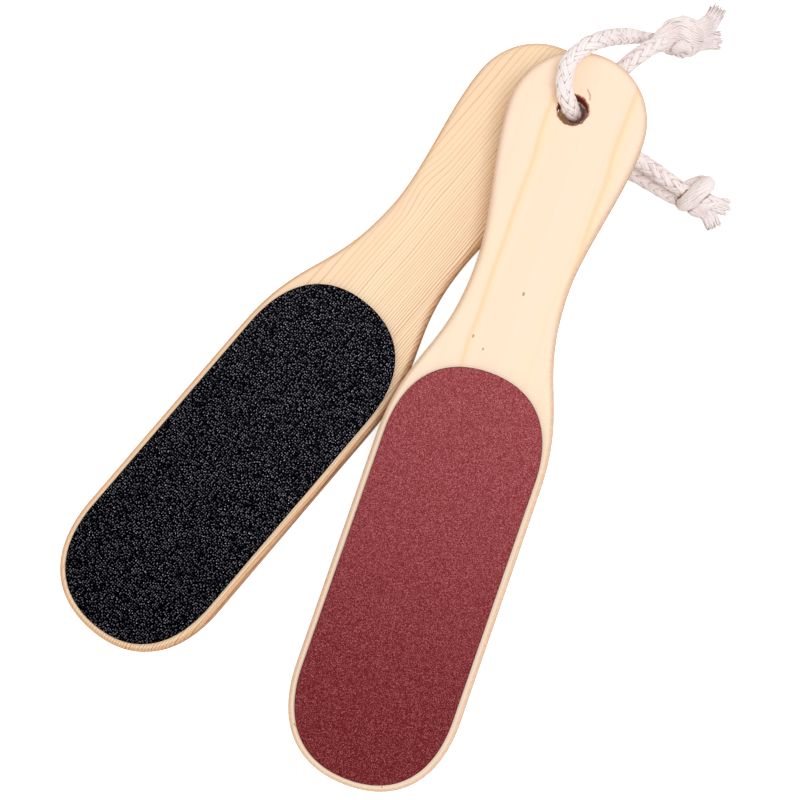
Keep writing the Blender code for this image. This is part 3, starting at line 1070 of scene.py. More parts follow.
@dataclass
class Paddle:
    """The wooden paddle of one file, with its rounded edges and its drilled, splintered hole."""

    side: Side
    shape: PaddleShape
    placed: Matrix
    finish: bpy.types.Material
    seed: int
    stretch_steps: int = 26
    edge_segments: int = 7
    hole_steps: int = 120
    hole_layers: int = 14
    hole_roughness: float = 0.00013
    rim_share: float = 0.5
    chips_per_rim: int = 30
    chip_widths: Flat = (0.03, 0.13)
    chip_shares: Flat = (0.2, 1.0)
    chip_depth: float = 0.00060
    chip_height: float = 0.0011
    cut_overrun: float = 0.0005

    def build(self) -> bpy.types.Object:
        """Build the paddle, in place of its CAD node.

        Returns:
            The paddle.
        """
        name = f"{self.side.value}_paddle"
        paddle = self.board(f"{name}_wood")
        self.round_edges(paddle)
        self.drill(paddle)
        self.mark_walls(paddle)
        settle(paddle, self.placed)
        paddle.data.shade_smooth()
        paddle.data.set_sharp_from_angle(angle=SHARP_ANGLE)
        smooth = paddle.modifiers.new("face_normals", "WEIGHTED_NORMAL")
        smooth.keep_sharp = True
        paddle.data.materials.clear()
        paddle.data.materials.append(self.finish)
        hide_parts(name)
        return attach(paddle, f"{self.side.value}_file")

    def board(self, name: str) -> bpy.types.Object:
        """Cut the outline out of a flat board.

        Args:
            name: The name of the new object.

        Returns:
            The board, with sharp edges.
        """
        curve = bpy.data.curves.new(name, "CURVE")
        curve.dimensions = "2D"
        curve.fill_mode = "BOTH"
        curve.extrude = self.shape.thickness / 2
        points = outline_points(self.shape.paddle_corners(), self.stretch_steps)
        spline = curve.splines.new("POLY")
        spline.use_cyclic_u = True
        spline.points.add(len(points) - 1)
        for point, place in zip(spline.points, points):
            point.co = (*place, 0.0, 1.0)
        return solid_from_curve(new_object(f"{name}_line", curve), name)

    def round_edges(self, paddle: bpy.types.Object) -> None:
        """Round the top and bottom edges, more on the handle than on the head.

        Args:
            paddle: The board.
        """
        shape = self.shape
        widest = max(shape.head_edge_radius, shape.handle_edge_radius)
        work = bmesh.new()
        work.from_mesh(paddle.data)
        level = [face for face in work.faces if abs(face.normal.z) > math.cos(SHARP_ANGLE)]
        bmesh.ops.dissolve_faces(work, faces=level)
        weights = work.edges.layers.float.new("bevel_weight_edge")
        for edge in work.edges:
            if edge.calc_face_angle() > SHARP_ANGLE:
                first, second = edge.verts
                edge[weights] = shape.edge_radius((first.co.y + second.co.y) / 2) / widest
        work.to_mesh(paddle.data)
        work.free()
        rounding = paddle.modifiers.new("rounded_edges", "BEVEL")
        rounding.limit_method = "WEIGHT"
        rounding.width = widest
        rounding.segments = self.edge_segments
        rounding.use_clamp_overlap = False

    def drill(self, paddle: bpy.types.Object) -> None:
        """Cut the hang hole, and make the cut and the rounded edges part of the mesh.

        Args:
            paddle: The board with its rounded edges.
        """
        cutter = new_object("hole_cutter", self.cutter())
        cutter.location = self.shape.hole
        cut = paddle.modifiers.new("hang_hole", "BOOLEAN")
        cut.operation = "DIFFERENCE"
        cut.solver = "EXACT"
        cut.object = cutter
        apply_modifiers(paddle)
        bpy.data.objects.remove(cutter, do_unlink=True)

    def cutter(self) -> bpy.types.Mesh:
        """What the drill takes away: a rough plug, wider at its ends and where chips tore out.

        Returns:
            The plug's mesh.
        """
        chance = np.random.default_rng(self.seed)
        face, top = self.shape.thickness / 2, self.shape.thickness / 2 + self.cut_overrun
        heights = [-top, *np.linspace(-face, face, self.hole_layers), top]
        angles = np.arange(self.hole_steps) * math.tau / self.hole_steps
        chips = {end: self.chips(chance, angles) for end in (-1, 1)}
        work = bmesh.new()
        rings = []
        for height in heights:
            reach = self.ring(chance, height, chips[1 if height > 0 else -1])
            rings.append([
                work.verts.new((r * math.cos(a), r * math.sin(a), height))
                for r, a in zip(reach, angles)
            ])
        for lower, upper in zip(rings, rings[1:]):
            for i in range(self.hole_steps):
                j = (i + 1) % self.hole_steps
                work.faces.new((lower[i], lower[j], upper[j], upper[i]))
        work.faces.new(list(reversed(rings[0])))
        work.faces.new(rings[-1])
        mesh = bpy.data.meshes.new("hole_cutter")
        work.to_mesh(mesh)
        work.free()
        return mesh

    def chips(self, chance: np.random.Generator, angles: np.ndarray) -> np.ndarray:
        """How deep chips are torn out round one rim.

        Args:
            chance: The source of chance.
            angles: The directions round the hole.

        Returns:
            The depth in each direction.
        """
        depths = np.zeros(self.hole_steps)
        for _ in range(self.chips_per_rim):
            middle, width = chance.uniform(0, math.tau), chance.uniform(*self.chip_widths)
            away = np.abs((angles - middle + math.pi) % math.tau - math.pi)
            bite = chance.uniform(*self.chip_shares) * self.chip_depth
            depths = np.maximum(depths, bite * np.clip(1 - away / width, 0, 1))
        return depths

    def ring(
        self, chance: np.random.Generator, height: float, chips: np.ndarray
    ) -> np.ndarray:
        """How wide the plug is at one height.

        Args:
            chance: The source of chance.
            height: The height from the wood's middle.
            chips: How deep chips are torn out of the nearer rim.

        Returns:
            The radius in each direction.
        """
        rim, face = self.shape.hole_rim_radius, self.shape.thickness / 2
        depth = face - min(abs(height), face)
        rise = max(0.0, rim - depth)
        flare = rim - math.sqrt(max(0.0, rim ** 2 - rise ** 2))
        chipped = chips * max(0.0, 1 - depth / self.chip_height)
        rough = chance.normal(0.0, self.hole_roughness, self.hole_steps)
        return self.shape.hole_diameter / 2 + self.rim_share * flare + chipped + np.abs(rough)

    def mark_walls(self, paddle: bpy.types.Object) -> None:
        """Mark the walls of the hole, and how far each point is down a rounded outer edge.

        Args:
            paddle: The drilled paddle, still in its file's own frame.
        """
        shape = self.shape
        mesh = paddle.data
        bore = mesh.attributes.new(BORE, "FLOAT", "POINT")
        edge = mesh.attributes.new(EDGE, "FLOAT", "POINT")
        middle = shape.hole.xy
        reach = shape.hole_diameter / 2 + 2 * self.chip_depth
        for i, vertex in enumerate(mesh.vertices):
            depth = shape.thickness / 2 - abs(vertex.co.z)
            inside = (vertex.co.xy - middle).length < reach
            below = depth > WELD_DISTANCE
            bore.data[i].value = 1.0 if inside and below else 0.0
            share = min(depth / shape.edge_radius(vertex.co.y), 1.0)
            edge.data[i].value = 0.0 if inside or not below else share


# The abrasive sheets


@dataclass
class AbrasiveSheet:
    """One abrasive sheet of a file: its cut outline and a field of grains standing on it."""

    side: Side
    grade: Grade
    shape: PaddleShape
    placed: Matrix
    finish: bpy.types.Material
    spacing: float
    grain_height: float
    seed: int
    stretch_steps: int = 60
    stray: float = 0.32
    bare_edge: float = 0.7
    drop_shape: Flat = (1.6, 1.3)
    edge_drop: Flat = (0.3, 1.0)

    def build(self) -> bpy.types.Object:
        """Build the sheet, in place of its CAD node.

        Returns:
            The sheet.
        """
        name = f"{self.side.value}_{self.grade.value}_sheet"
        sheet = new_object(f"{name}_grit", self.mesh(name))
        sheet.data.materials.append(self.finish)
        settle(sheet, self.placed)
        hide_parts(name)
        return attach(sheet, f"{self.side.value}_file")

    def scatter(self, edge: list[Vector]) -> list[Vector]:
        """Scatter points over the sheet, kept off its edge.

        Args:
            edge: Points along the sheet's outline.

        Returns:
            The scattered points.
        """
        chance = np.random.default_rng(self.seed)
        half, reach = max(p.x for p in edge), max(p.y for p in edge)
        rows = np.arange(-reach, reach, self.spacing * math.sqrt(3) / 2)
        columns = np.arange(-half, half, self.spacing)
        grid_y, grid_x = np.meshgrid(rows, columns, indexing="ij")
        grid_x[1::2] += self.spacing / 2
        spots = np.stack([grid_x.ravel(), grid_y.ravel()], axis=1)
        spots += chance.uniform(-self.stray, self.stray, spots.shape) * self.spacing
        right = sorted((p for p in edge if p.x >= 0), key=lambda p: p.y)
        widths = np.interp(spots[:, 1], [p.y for p in right], [p.x for p in right])
        margin = self.spacing * self.bare_edge
        inside = (np.abs(spots[:, 0]) < widths - margin) & (np.abs(spots[:, 1]) < reach - margin)
        return [Vector(spot) for spot in spots[inside]]

    def mesh(self, name: str) -> bpy.types.Mesh:
        """Make the grains as facets between scattered high and low points, on an edge and a back.

        Args:
            name: The mesh's name.

        Returns:
            The sheet in its file's own frame.
        """
        chance = np.random.default_rng(self.seed + 1)
        edge = outline_points(self.shape.pad_corners(), self.stretch_steps)
        count = len(edge)
        spots = edge + self.scatter(edge)
        found = delaunay_2d_cdt(spots, [], [list(range(count))], 1, MEETING_DISTANCE, False)
        flat, triangles = found[0], found[2]
        sign = 1 if self.grade is Grade.COARSE else -1
        drop = self.grain_height * chance.beta(*self.drop_shape, len(flat))
        on_edge = np.arange(len(flat)) < count
        drop[on_edge] = self.grain_height * chance.uniform(*self.edge_drop, on_edge.sum())
        top, back = self.shape.face(self.grade), len(flat)
        corners = [(p.x, p.y, sign * (top - d)) for p, d in zip(flat, drop)]
        corners += [(p.x, p.y, sign * self.shape.seat) for p in edge]
        faces = [tuple(triangle) for triangle in triangles]
        for i in range(count):
            j = (i + 1) % count
            faces.append((i, back + i, back + j, j))
        faces.append(tuple(reversed(range(back, back + count))))
        if sign < 0:
            faces = [tuple(reversed(face)) for face in faces]
        mesh = bpy.data.meshes.new(name)
        mesh.from_pydata(corners, [], faces)
        cut = np.concatenate([on_edge, np.ones(count, bool)]).astype(np.float32)
        mesh.attributes.new(CUT_EDGE, "FLOAT", "POINT").data.foreach_set("value", cut)
        return mesh


# Cords


@dataclass(frozen=True)
class Centreline:
    """A line through space, with a frame at each point that doesn't twist."""

    points: np.ndarray
    tangents: np.ndarray
    normals: np.ndarray

    @classmethod
    def through(cls, route: list[Point], step: float, samples: int = 24) -> "Centreline":
        """A smooth line through a route.

        Args:
            route: The given points, in metres.
            step: The distance between the line's points.
            samples: How finely the curve is measured between two points of the route.

        Returns:
            The line, evenly spaced along a centripetal Catmull-Rom curve.
        """
        fine = cls.catmull_rom([np.array(p, float) for p in route], samples)
        lengths = np.concatenate([[0.0], np.cumsum(np.linalg.norm(np.diff(fine, axis=0), axis=1))])
        count = max(2, round(lengths[-1] / step))
        along = np.linspace(0.0, lengths[-1], count + 1)
        points = np.stack([np.interp(along, lengths, fine[:, k]) for k in range(3)], axis=1)
        return cls.of(points)

    @staticmethod
    def catmull_rom(knots: list[np.ndarray], samples: int) -> np.ndarray:
        """Fine points along a centripetal Catmull-Rom curve.

        Args:
            knots: The points that it passes through.
            samples: How many points each stretch between two knots gets.

        Returns:
            The points.
        """
        line = [2 * knots[0] - knots[1], *knots, 2 * knots[-1] - knots[-2]]
        fine = []
        for a, b, c, d in zip(line, line[1:], line[2:], line[3:]):
            t1 = np.linalg.norm(b - a) ** 0.5
            t2 = t1 + np.linalg.norm(c - b) ** 0.5
            t3 = t2 + np.linalg.norm(d - c) ** 0.5
            for i in range(samples):
                t = t1 + (t2 - t1) * i / samples
                ab = a + (b - a) * t / t1
                bc = b + (c - b) * (t - t1) / (t2 - t1)
                cd = c + (d - c) * (t - t2) / (t3 - t2)
                abc = ab + (bc - ab) * t / t2
                bcd = bc + (cd - bc) * (t - t1) / (t3 - t1)
                fine.append(abc + (bcd - abc) * (t - t1) / (t2 - t1))
        fine.append(knots[-1])
        return np.array(fine)

    @classmethod
    def of(cls, points: np.ndarray) -> "Centreline":
        """Give a line its frames.

        Args:
            points: Evenly spaced points.

        Returns:
            The line through them.
        """
        tangents = np.gradient(points, axis=0)
        tangents /= np.linalg.norm(tangents, axis=1, keepdims=True)
        first = np.cross(tangents[0], (0.0, 0.0, 1.0))
        if np.linalg.norm(first) < 0.1:
            first = np.cross(tangents[0], (1.0, 0.0, 0.0))
        normals = [first / np.linalg.norm(first)]
        for i in range(1, len(points)):
            carried = normals[-1] - tangents[i] * normals[-1].dot(tangents[i])
            normals.append(carried / np.linalg.norm(carried))
        return cls(points, tangents, np.array(normals))

    @property
    def stations(self) -> np.ndarray:
        """How far along the line each point is."""
        steps = np.linalg.norm(np.diff(self.points, axis=0), axis=1)
        return np.concatenate([[0.0], np.cumsum(steps)])

    @property
    def length(self) -> float:
        """The line's length."""
        return float(self.stations[-1])

    def outward(self, turn: np.ndarray) -> np.ndarray:
        """The way out of the line at each point, turned round it by an angle."""
        binormals = np.cross(self.tangents, self.normals)
        return np.cos(turn)[:, None] * self.normals + np.sin(turn)[:, None] * binormals

    def cut(self, count: int) -> "Centreline":
        """The line up to a number of its points."""
        return Centreline(self.points[:count], self.tangents[:count], self.normals[:count])


@dataclass(frozen=True)
class Laid:
    """A stretch of cord that is laid along a line, with its thickness as shares of the diameter.

    One that lies over the others paints shade in a crease along its sides, as dark as its
    crease_shade.
    """

    line: Centreline
    swell: np.ndarray
    diameter: float
    crease_shade: float = 0.0


@dataclass
class YarnMesh:
    """Gathers yarns, each a tube with a UV map along and round it and the painted shade of each
    point, into one mesh.
    """

    crease_reach: float = 0.0007
    own_crease_shade: float = 0.30
    own_stretch: float = 0.018

    def __post_init__(self) -> None:
        """Start with no yarn."""
        self.corners: list[np.ndarray] = []
        self.faces: list[np.ndarray] = []
        self.uvs: list[np.ndarray] = []
        self.crevice_shades: list[np.ndarray] = []
        self.count = 0

    def tube(
        self, middle: np.ndarray, outward: np.ndarray, width: np.ndarray | float,
        height: np.ndarray | float, crevice_shade: np.ndarray | float, sides: int, belly: float = 1.0,
    ) -> None:
        """Add one yarn.

        Args:
            middle: Points along the yarn's middle.
            outward: The way out of the cord at each point.
            width: The yarn's width across, along the cord's surface.
            height: The yarn's height, out of the cord.
            crevice_shade: Painted shade, as how deep between its neighbours each point lies, from 0
                to 1.
            sides: Corners of the yarn's section.
            belly: How much more painted shade its underside gets.
        """
        rows = len(middle)
        along = np.gradient(middle, axis=0)
        along /= np.linalg.norm(along, axis=1, keepdims=True)
        steps = np.linalg.norm(np.diff(middle, axis=0), axis=1)
        station = np.concatenate([[0.0], np.cumsum(steps)])
        up = outward - along * np.sum(outward * along, axis=1, keepdims=True)
        up /= np.linalg.norm(up, axis=1, keepdims=True)
        across = np.cross(along, up)
        angles = np.arange(sides) * math.tau / sides
        half_width, half_height, depth = (
            np.broadcast_to(size, rows)[:, None] for size in (width, height, crevice_shade)
        )
        ring = (
            middle[:, None]
            + across[:, None] * (half_width[:, None] / 2) * np.cos(angles)[None, :, None]
            + up[:, None] * (half_height[:, None] / 2) * np.sin(angles)[None, :, None]
        )
        row, side = np.meshgrid(np.arange(rows - 1), np.arange(sides), indexing="ij")
        row, side = row.ravel(), side.ravel()
        corners = ((0, 0), (0, 1), (1, 1), (1, 0))
        quads = [(row + ahead) * sides + (side + over) % sides for ahead, over in corners]
        uvs = [
            np.stack([(side + over) / sides, station[row + ahead]], axis=1)
            for ahead, over in corners
        ]
        # Painted shade: the underside of a yarn is darker
        low = 0.5 - 0.5 * np.sin(angles)
        depth = np.clip(depth + belly * low[None, :] ** 2, 0.0, 1.0)
        self.corners.append(ring.reshape(-1, 3))
        self.faces.append(np.stack(quads, axis=1) + self.count)
        self.uvs.append(np.stack(uvs, axis=1).reshape(-1, 2))
        self.crevice_shades.append(depth.ravel())
        self.count += rows * sides

    def crease(self, first: int, own: Laid, others: list[Laid]) -> None:
        """Paint shade on yarns where they come close to other stretches of cord, or to their own
        again.

        Args:
            first: The number of the first yarn to shade, of those laid along one stretch.
            own: The stretch that they are laid along.
            others: The stretches to look at.
        """
        for k in range(first, len(self.corners)):
            corners = self.corners[k]
            station = np.repeat(own.line.stations, len(corners) // len(own.line.points))
            for other in others:
                crease_shade = self.own_crease_shade if other is own else max(own.crease_shade, other.crease_shade)
                radius = other.swell * other.diameter / 2
                apart = np.linalg.norm(corners[:, None] - other.line.points, axis=2) - radius
                if other is own:
                    along = np.abs(station[:, None] - other.line.stations)
                    apart[along < self.own_stretch] = self.crease_reach
                near = np.clip(1 - apart.min(axis=1) / self.crease_reach, 0, 1)
                self.crevice_shades[k] = np.minimum(self.crevice_shades[k] + crease_shade * near, 1)

    def mesh(self, name: str) -> bpy.types.Mesh:
        """Make all the yarns into one mesh.

        Args:
            name: Its name.

        Returns:
            The mesh.
        """
        corners = np.concatenate(self.corners)
        faces = np.concatenate(self.faces)
        mesh = bpy.data.meshes.new(name)
        mesh.vertices.add(len(corners))
        mesh.vertices.foreach_set("co", corners.ravel())
        mesh.loops.add(faces.size)
        mesh.loops.foreach_set("vertex_index", faces.ravel().astype(np.int32))
        mesh.polygons.add(len(faces))
        mesh.polygons.foreach_set("loop_start", np.arange(0, faces.size, 4, dtype=np.int32))
        mesh.update(calc_edges=True)
        layer = mesh.uv_layers.new(name=YARN_MAP)
        layer.data.foreach_set("uv", np.concatenate(self.uvs).ravel())
        depth = mesh.attributes.new(CREVICE_SHADE, "FLOAT", "POINT")
        depth.data.foreach_set("value", np.concatenate(self.crevice_shades).astype(np.float32))
        mesh.shade_smooth()
        return mesh


@dataclass(frozen=True)
class Braid:
    """A round braid of strands that each pass over two others and then under two."""

    diameter: float = 0.0062
    strands_each_way: int = 6
    pitch: float = 0.0330
    strand_width: float = 0.00265
    strand_height: float = 0.0011
    weave: float = 0.00026
    dip_shade: float = 0.35
    sides: int = 12

    def lay(self, gathered: YarnMesh, laid: Laid, hole_shading: np.ndarray | float = 0.0) -> None:
        """Lay the braid along a stretch of cord.

        Args:
            gathered: The mesh that takes the strands.
            laid: The stretch.
            hole_shading: Painted shade, how dark the strands are all round, from 0 to 1.
        """
        line, scale = laid.line, laid.swell
        station = line.stations
        middle_radius = (self.diameter - self.strand_height) / 2 - self.weave
        beat = math.pi * self.strands_each_way * station / self.pitch
        for hand in (1, -1):
            for i in range(self.strands_each_way):
                turn = math.tau * (i / self.strands_each_way + hand * station / self.pitch)
                outward = line.outward(turn)
                over = hand * np.cos(beat + math.pi * (i - hand / 4))
                radius = (middle_radius + self.weave * over) * scale
                gathered.tube(
                    line.points + outward * radius[:, None], outward,
                    self.strand_width * scale, self.strand_height * scale,
                    self.dip_shade * np.clip(-over, 0, 1) + hole_shading, self.sides,
                )


@dataclass(frozen=True)
class FlatLay:
    """Strands pulled nearly straight along a cord, as where a knot draws its braid tight."""

    diameter: float = 0.0062
    strands: int = 18
    pitch: float = 0.0650
    strand_width: float = 0.00135
    strand_height: float = 0.0011
    unevenness: float = 0.00012
    wave_rate: float = 700.0
    sides: int = 8

    def lay(self, gathered: YarnMesh, laid: Laid) -> None:
        """Lay the strands along a stretch of cord.

        Args:
            gathered: The mesh that takes the strands.
            laid: The stretch.
        """
        chance = np.random.default_rng(self.strands)
        line, scale = laid.line, laid.swell
        station = line.stations
        for i in range(self.strands):
            outward = line.outward(math.tau * (i / self.strands + station / self.pitch))
            rise = chance.uniform(-1, 1)
            high = rise + np.sin(station * self.wave_rate + chance.uniform(0, math.tau))
            radius = (self.diameter - self.strand_height) / 2 + self.unevenness * high
            gathered.tube(
                line.points + outward * (radius * scale)[:, None], outward,
                self.strand_width * scale, self.strand_height * scale, 0.0, self.sides,
            )


class Lay(Enum):
    """How the strands lie on a stretch of cord in a knot."""

    BRAIDED = Braid()
    PULLED = FlatLay()
    FANNED = FlatLay(
        strands=44, pitch=0.110, strand_width=0.00045, strand_height=0.0008, unevenness=0.00015,
    )


@dataclass(frozen=True)
class KnotRun:
    """A stretch of cord in a knot, and how dark a painted crease shade it gives where it lies over
    others.

    Each row of its route is a place and the thickness there, as a share of the cord's diameter.
    """

    lay: Lay
    route: list[Thick]
    crease_shade: float = 0.0
    drawn_in: float = 0.0012
    thinnest: float = 0.05

    def laid(self, step: float, diameter: float) -> Laid:
        """Lay the stretch, drawn in at its hidden ends.

        Args:
            step: The distance between the line's points.
            diameter: The cord's diameter.

        Returns:
            The stretch along its line.
        """
        line = Centreline.through([row[:3] for row in self.route], step)
        share = line.stations / line.length
        swell = np.interp(share, np.linspace(0, 1, len(self.route)), [row[3] for row in self.route])
        from_end = np.minimum(share, 1 - share) * line.length
        swell *= np.clip(from_end / self.drawn_in, self.thinnest, 1) ** 0.5
        return Laid(line, swell, diameter, self.crease_shade)


@dataclass(frozen=True)
class FrayedEnd:
    """Where a frayed end runs, and how its yarns spread and break off."""

    route: list[Point]
    spread: float
    yarns: int = 96
    yarn_radius: float = 0.00036
    packed_share: float = 0.43
    kept: Flat = (0.72, 1.0)
    spread_range: Flat = (0.5, 1.4)
    spread_power: float = 1.6
    twist: Flat = (0.5, 0.4)
    thinning: float = 0.6
    shade: float = 0.05
    belly: float = 0.3
    sides: int = 6

    def mesh(self, label: str, step: float, diameter: float) -> bpy.types.Mesh:
        """Make the loose yarns, which break off at different lengths.

        Args:
            label: The end's letter, which leads its chances.
            step: The distance between points along a yarn.
            diameter: The cord's diameter.

        Returns:
            The mesh.
        """
        chance = np.random.default_rng(ord(label))
        gathered = YarnMesh()
        whole = Centreline.through(self.route, step)
        for i in range(self.yarns):
            line = whole.cut(round(len(whole.points) * chance.uniform(*self.kept)))
            share = line.stations / whole.length
            reach = math.sqrt((i + 0.5) / self.yarns) * diameter * self.packed_share
            loose = self.spread * share ** self.spread_power
            opened = 1 + loose * chance.uniform(*self.spread_range)
            outward = line.outward(i * GOLDEN_TURN + share * chance.normal(*self.twist))
            middle = line.points + outward * (reach * opened)[:, None]
            middle[:, 2] = np.maximum(middle[:, 2], self.yarn_radius)
            thin = self.yarn_radius * 2 * (1 - self.thinning * share ** 3)
            gathered.tube(middle, outward, thin, thin, self.shade, self.sides, self.belly)
        return gathered.mesh(f"end_{label}")


@dataclass(frozen=True)
class CordRoute:
    """Where one cord runs: its loop, its knot and its two loose ends.

    The loop's thickness is listed as shares of its length and of the cord's diameter. Between
    the two shares of its length in shaded_in_hole, where it lies in the hole, the loop has painted
    dark brown shade.
    """

    loop: list[Point]
    thickness: list[Flat]
    shaded_in_hole: Flat
    knot: list[KnotRun]
    ends: dict[str, FrayedEnd]


FRONT_CORD = CordRoute(
    loop=[
        (0.1142, 0.1352, 0.0046), (0.1110, 0.1360, 0.0048), (0.1082, 0.1361, 0.0059),
        (0.1056, 0.1357, 0.0082), (0.1016, 0.1342, 0.0138), (0.0974, 0.1317, 0.0210),
        (0.0931, 0.1289, 0.0278), (0.0891, 0.1261, 0.0336), (0.0855, 0.1236, 0.0376),
        (0.0823, 0.1214, 0.0394), (0.0793, 0.1190, 0.0400), (0.0768, 0.1163, 0.0403),
        (0.0751, 0.1131, 0.0402), (0.0745, 0.1098, 0.0399), (0.0743, 0.1068, 0.0392),
        (0.0748, 0.1042, 0.0376), (0.0760, 0.1022, 0.0346), (0.0769, 0.1012, 0.0310),
        (0.0777, 0.1011, 0.0276), (0.0789, 0.1020, 0.0240), (0.0807, 0.1038, 0.0214),
        (0.0837, 0.1070, 0.0206), (0.0879, 0.1114, 0.0206), (0.0929, 0.1167, 0.0201),
        (0.0969, 0.1210, 0.0192), (0.0999, 0.1238, 0.0182), (0.1030, 0.1265, 0.0168),
        (0.1056, 0.1288, 0.0152), (0.1082, 0.1308, 0.0135), (0.1103, 0.1323, 0.0124),
        (0.1128, 0.1339, 0.0104),
    ],
    thickness=[(0.0, 0.78), (0.10, 0.78), (0.17, 1.0), (0.95, 1.0), (1.0, 0.9)],
    shaded_in_hole=(0.600, 0.67),
    knot=[
        KnotRun(Lay.FANNED, [
            (0.1089, 0.1318, 0.0122, 0.90), (0.1127, 0.1340, 0.0106, 1.45),
            (0.1165, 0.1353, 0.0090, 2.10), (0.1202, 0.1356, 0.0084, 2.40),
            (0.1238, 0.1354, 0.0082, 2.10), (0.1265, 0.1352, 0.0080, 1.30),
        ]),
        KnotRun(Lay.PULLED, [
            (0.1152, 0.1293, 0.0104, 0.42), (0.1162, 0.1297, 0.0132, 0.56),
            (0.1179, 0.1300, 0.0146, 0.62), (0.1196, 0.1297, 0.0134, 0.56),
            (0.1207, 0.1291, 0.0106, 0.42),
        ], crease_shade=0.15),
        KnotRun(Lay.FANNED, [
            (0.1216, 0.1370, 0.0090, 1.00), (0.1252, 0.1380, 0.0092, 1.15),
            (0.1282, 0.1401, 0.0084, 1.10), (0.1308, 0.1438, 0.0072, 0.85),
            (0.1326, 0.1472, 0.0062, 0.40),
        ]),
        KnotRun(Lay.FANNED, [
            (0.1218, 0.1341, 0.0066, 1.00), (0.1254, 0.1345, 0.0064, 1.10),
            (0.1284, 0.1349, 0.0056, 1.05), (0.1315, 0.1354, 0.0046, 0.80),
            (0.1332, 0.1355, 0.0040, 0.40),
        ]),
    ],
    ends={
        "a": FrayedEnd([
            (0.1252, 0.1380, 0.0092), (0.1282, 0.1401, 0.0084), (0.1308, 0.1438, 0.0072),
            (0.1329, 0.1477, 0.0060),
        ], spread=0.35),
        "b": FrayedEnd([
            (0.1251, 0.1345, 0.0064), (0.1281, 0.1349, 0.0056), (0.1311, 0.1355, 0.0046),
            (0.1337, 0.1356, 0.0040),
        ], spread=0.35),
    },
)
REAR_CORD = CordRoute(
    loop=[
        (0.1212, 0.0750, 0.0072), (0.1190, 0.0768, 0.0090), (0.1160, 0.0788, 0.0106),
        (0.1129, 0.0811, 0.0104), (0.1094, 0.0837, 0.0104), (0.1058, 0.0862, 0.0109),
        (0.1024, 0.0884, 0.0119), (0.0985, 0.0898, 0.0140), (0.0945, 0.0902, 0.0167),
        (0.0900, 0.0901, 0.0188), (0.0850, 0.0900, 0.0196), (0.0800, 0.0908, 0.0197),
        (0.0755, 0.0929, 0.0198), (0.0720, 0.0961, 0.0198), (0.0702, 0.0998, 0.0198),
        (0.0692, 0.1034, 0.0197), (0.0687, 0.1063, 0.0175), (0.0685, 0.1078, 0.0142),
        (0.0687, 0.1080, 0.0108), (0.0696, 0.1074, 0.0075), (0.0715, 0.1059, 0.0047),
        (0.0745, 0.1036, 0.0034), (0.0785, 0.1002, 0.0032), (0.0840, 0.0960, 0.0032),
        (0.0900, 0.0922, 0.0032), (0.0960, 0.0889, 0.0032), (0.1021, 0.0856, 0.0032),
        (0.1058, 0.0833, 0.0032), (0.1097, 0.0808, 0.0033), (0.1128, 0.0786, 0.0036),
        (0.1156, 0.0769, 0.0040), (0.1186, 0.0748, 0.0048), (0.1210, 0.0733, 0.0056),
    ],
    thickness=[(0.0, 0.8), (0.05, 0.92), (0.10, 1.0), (0.90, 1.0), (0.95, 0.92), (1.0, 0.8)],
    shaded_in_hole=(0.500, 0.575),
    knot=[
        KnotRun(Lay.PULLED, [
            (0.1214, 0.0765, 0.0034, 0.60), (0.1192, 0.0748, 0.0046, 0.80),
            (0.1179, 0.0735, 0.0078, 0.90), (0.1188, 0.0733, 0.0112, 0.95),
            (0.1209, 0.0748, 0.0130, 0.98), (0.1234, 0.0772, 0.0130, 1.00),
            (0.1256, 0.0795, 0.0106, 1.00), (0.1263, 0.0811, 0.0068, 0.95),
            (0.1242, 0.0817, 0.0046, 0.95), (0.1210, 0.0809, 0.0042, 0.95),
            (0.1191, 0.0797, 0.0038, 0.90), (0.1185, 0.0773, 0.0034, 0.70),
        ], crease_shade=0.45),
        KnotRun(Lay.FANNED, [
            (0.1203, 0.0743, 0.0060, 1.00), (0.1227, 0.0726, 0.0066, 1.15),
            (0.1252, 0.0714, 0.0064, 1.12), (0.1268, 0.0696, 0.0060, 0.90),
            (0.1280, 0.0674, 0.0052, 0.70), (0.1289, 0.0656, 0.0044, 0.35),
        ]),
        KnotRun(Lay.BRAIDED, [
            (0.1219, 0.0756, 0.0080, 1.00), (0.1246, 0.0743, 0.0086, 1.12),
            (0.1275, 0.0735, 0.0080, 1.05), (0.1305, 0.0730, 0.0068, 0.85),
            (0.1326, 0.0727, 0.0058, 0.45),
        ]),
    ],
    ends={
        "a": FrayedEnd([
            (0.1252, 0.0713, 0.0064), (0.1268, 0.0696, 0.0060), (0.1280, 0.0674, 0.0052),
            (0.1292, 0.0652, 0.0042),
        ], spread=0.1),
        "b": FrayedEnd([
            (0.1275, 0.0735, 0.0080), (0.1297, 0.0731, 0.0072), (0.1318, 0.0728, 0.0062),
            (0.1339, 0.0725, 0.0050),
        ], spread=0.25),
    },
)


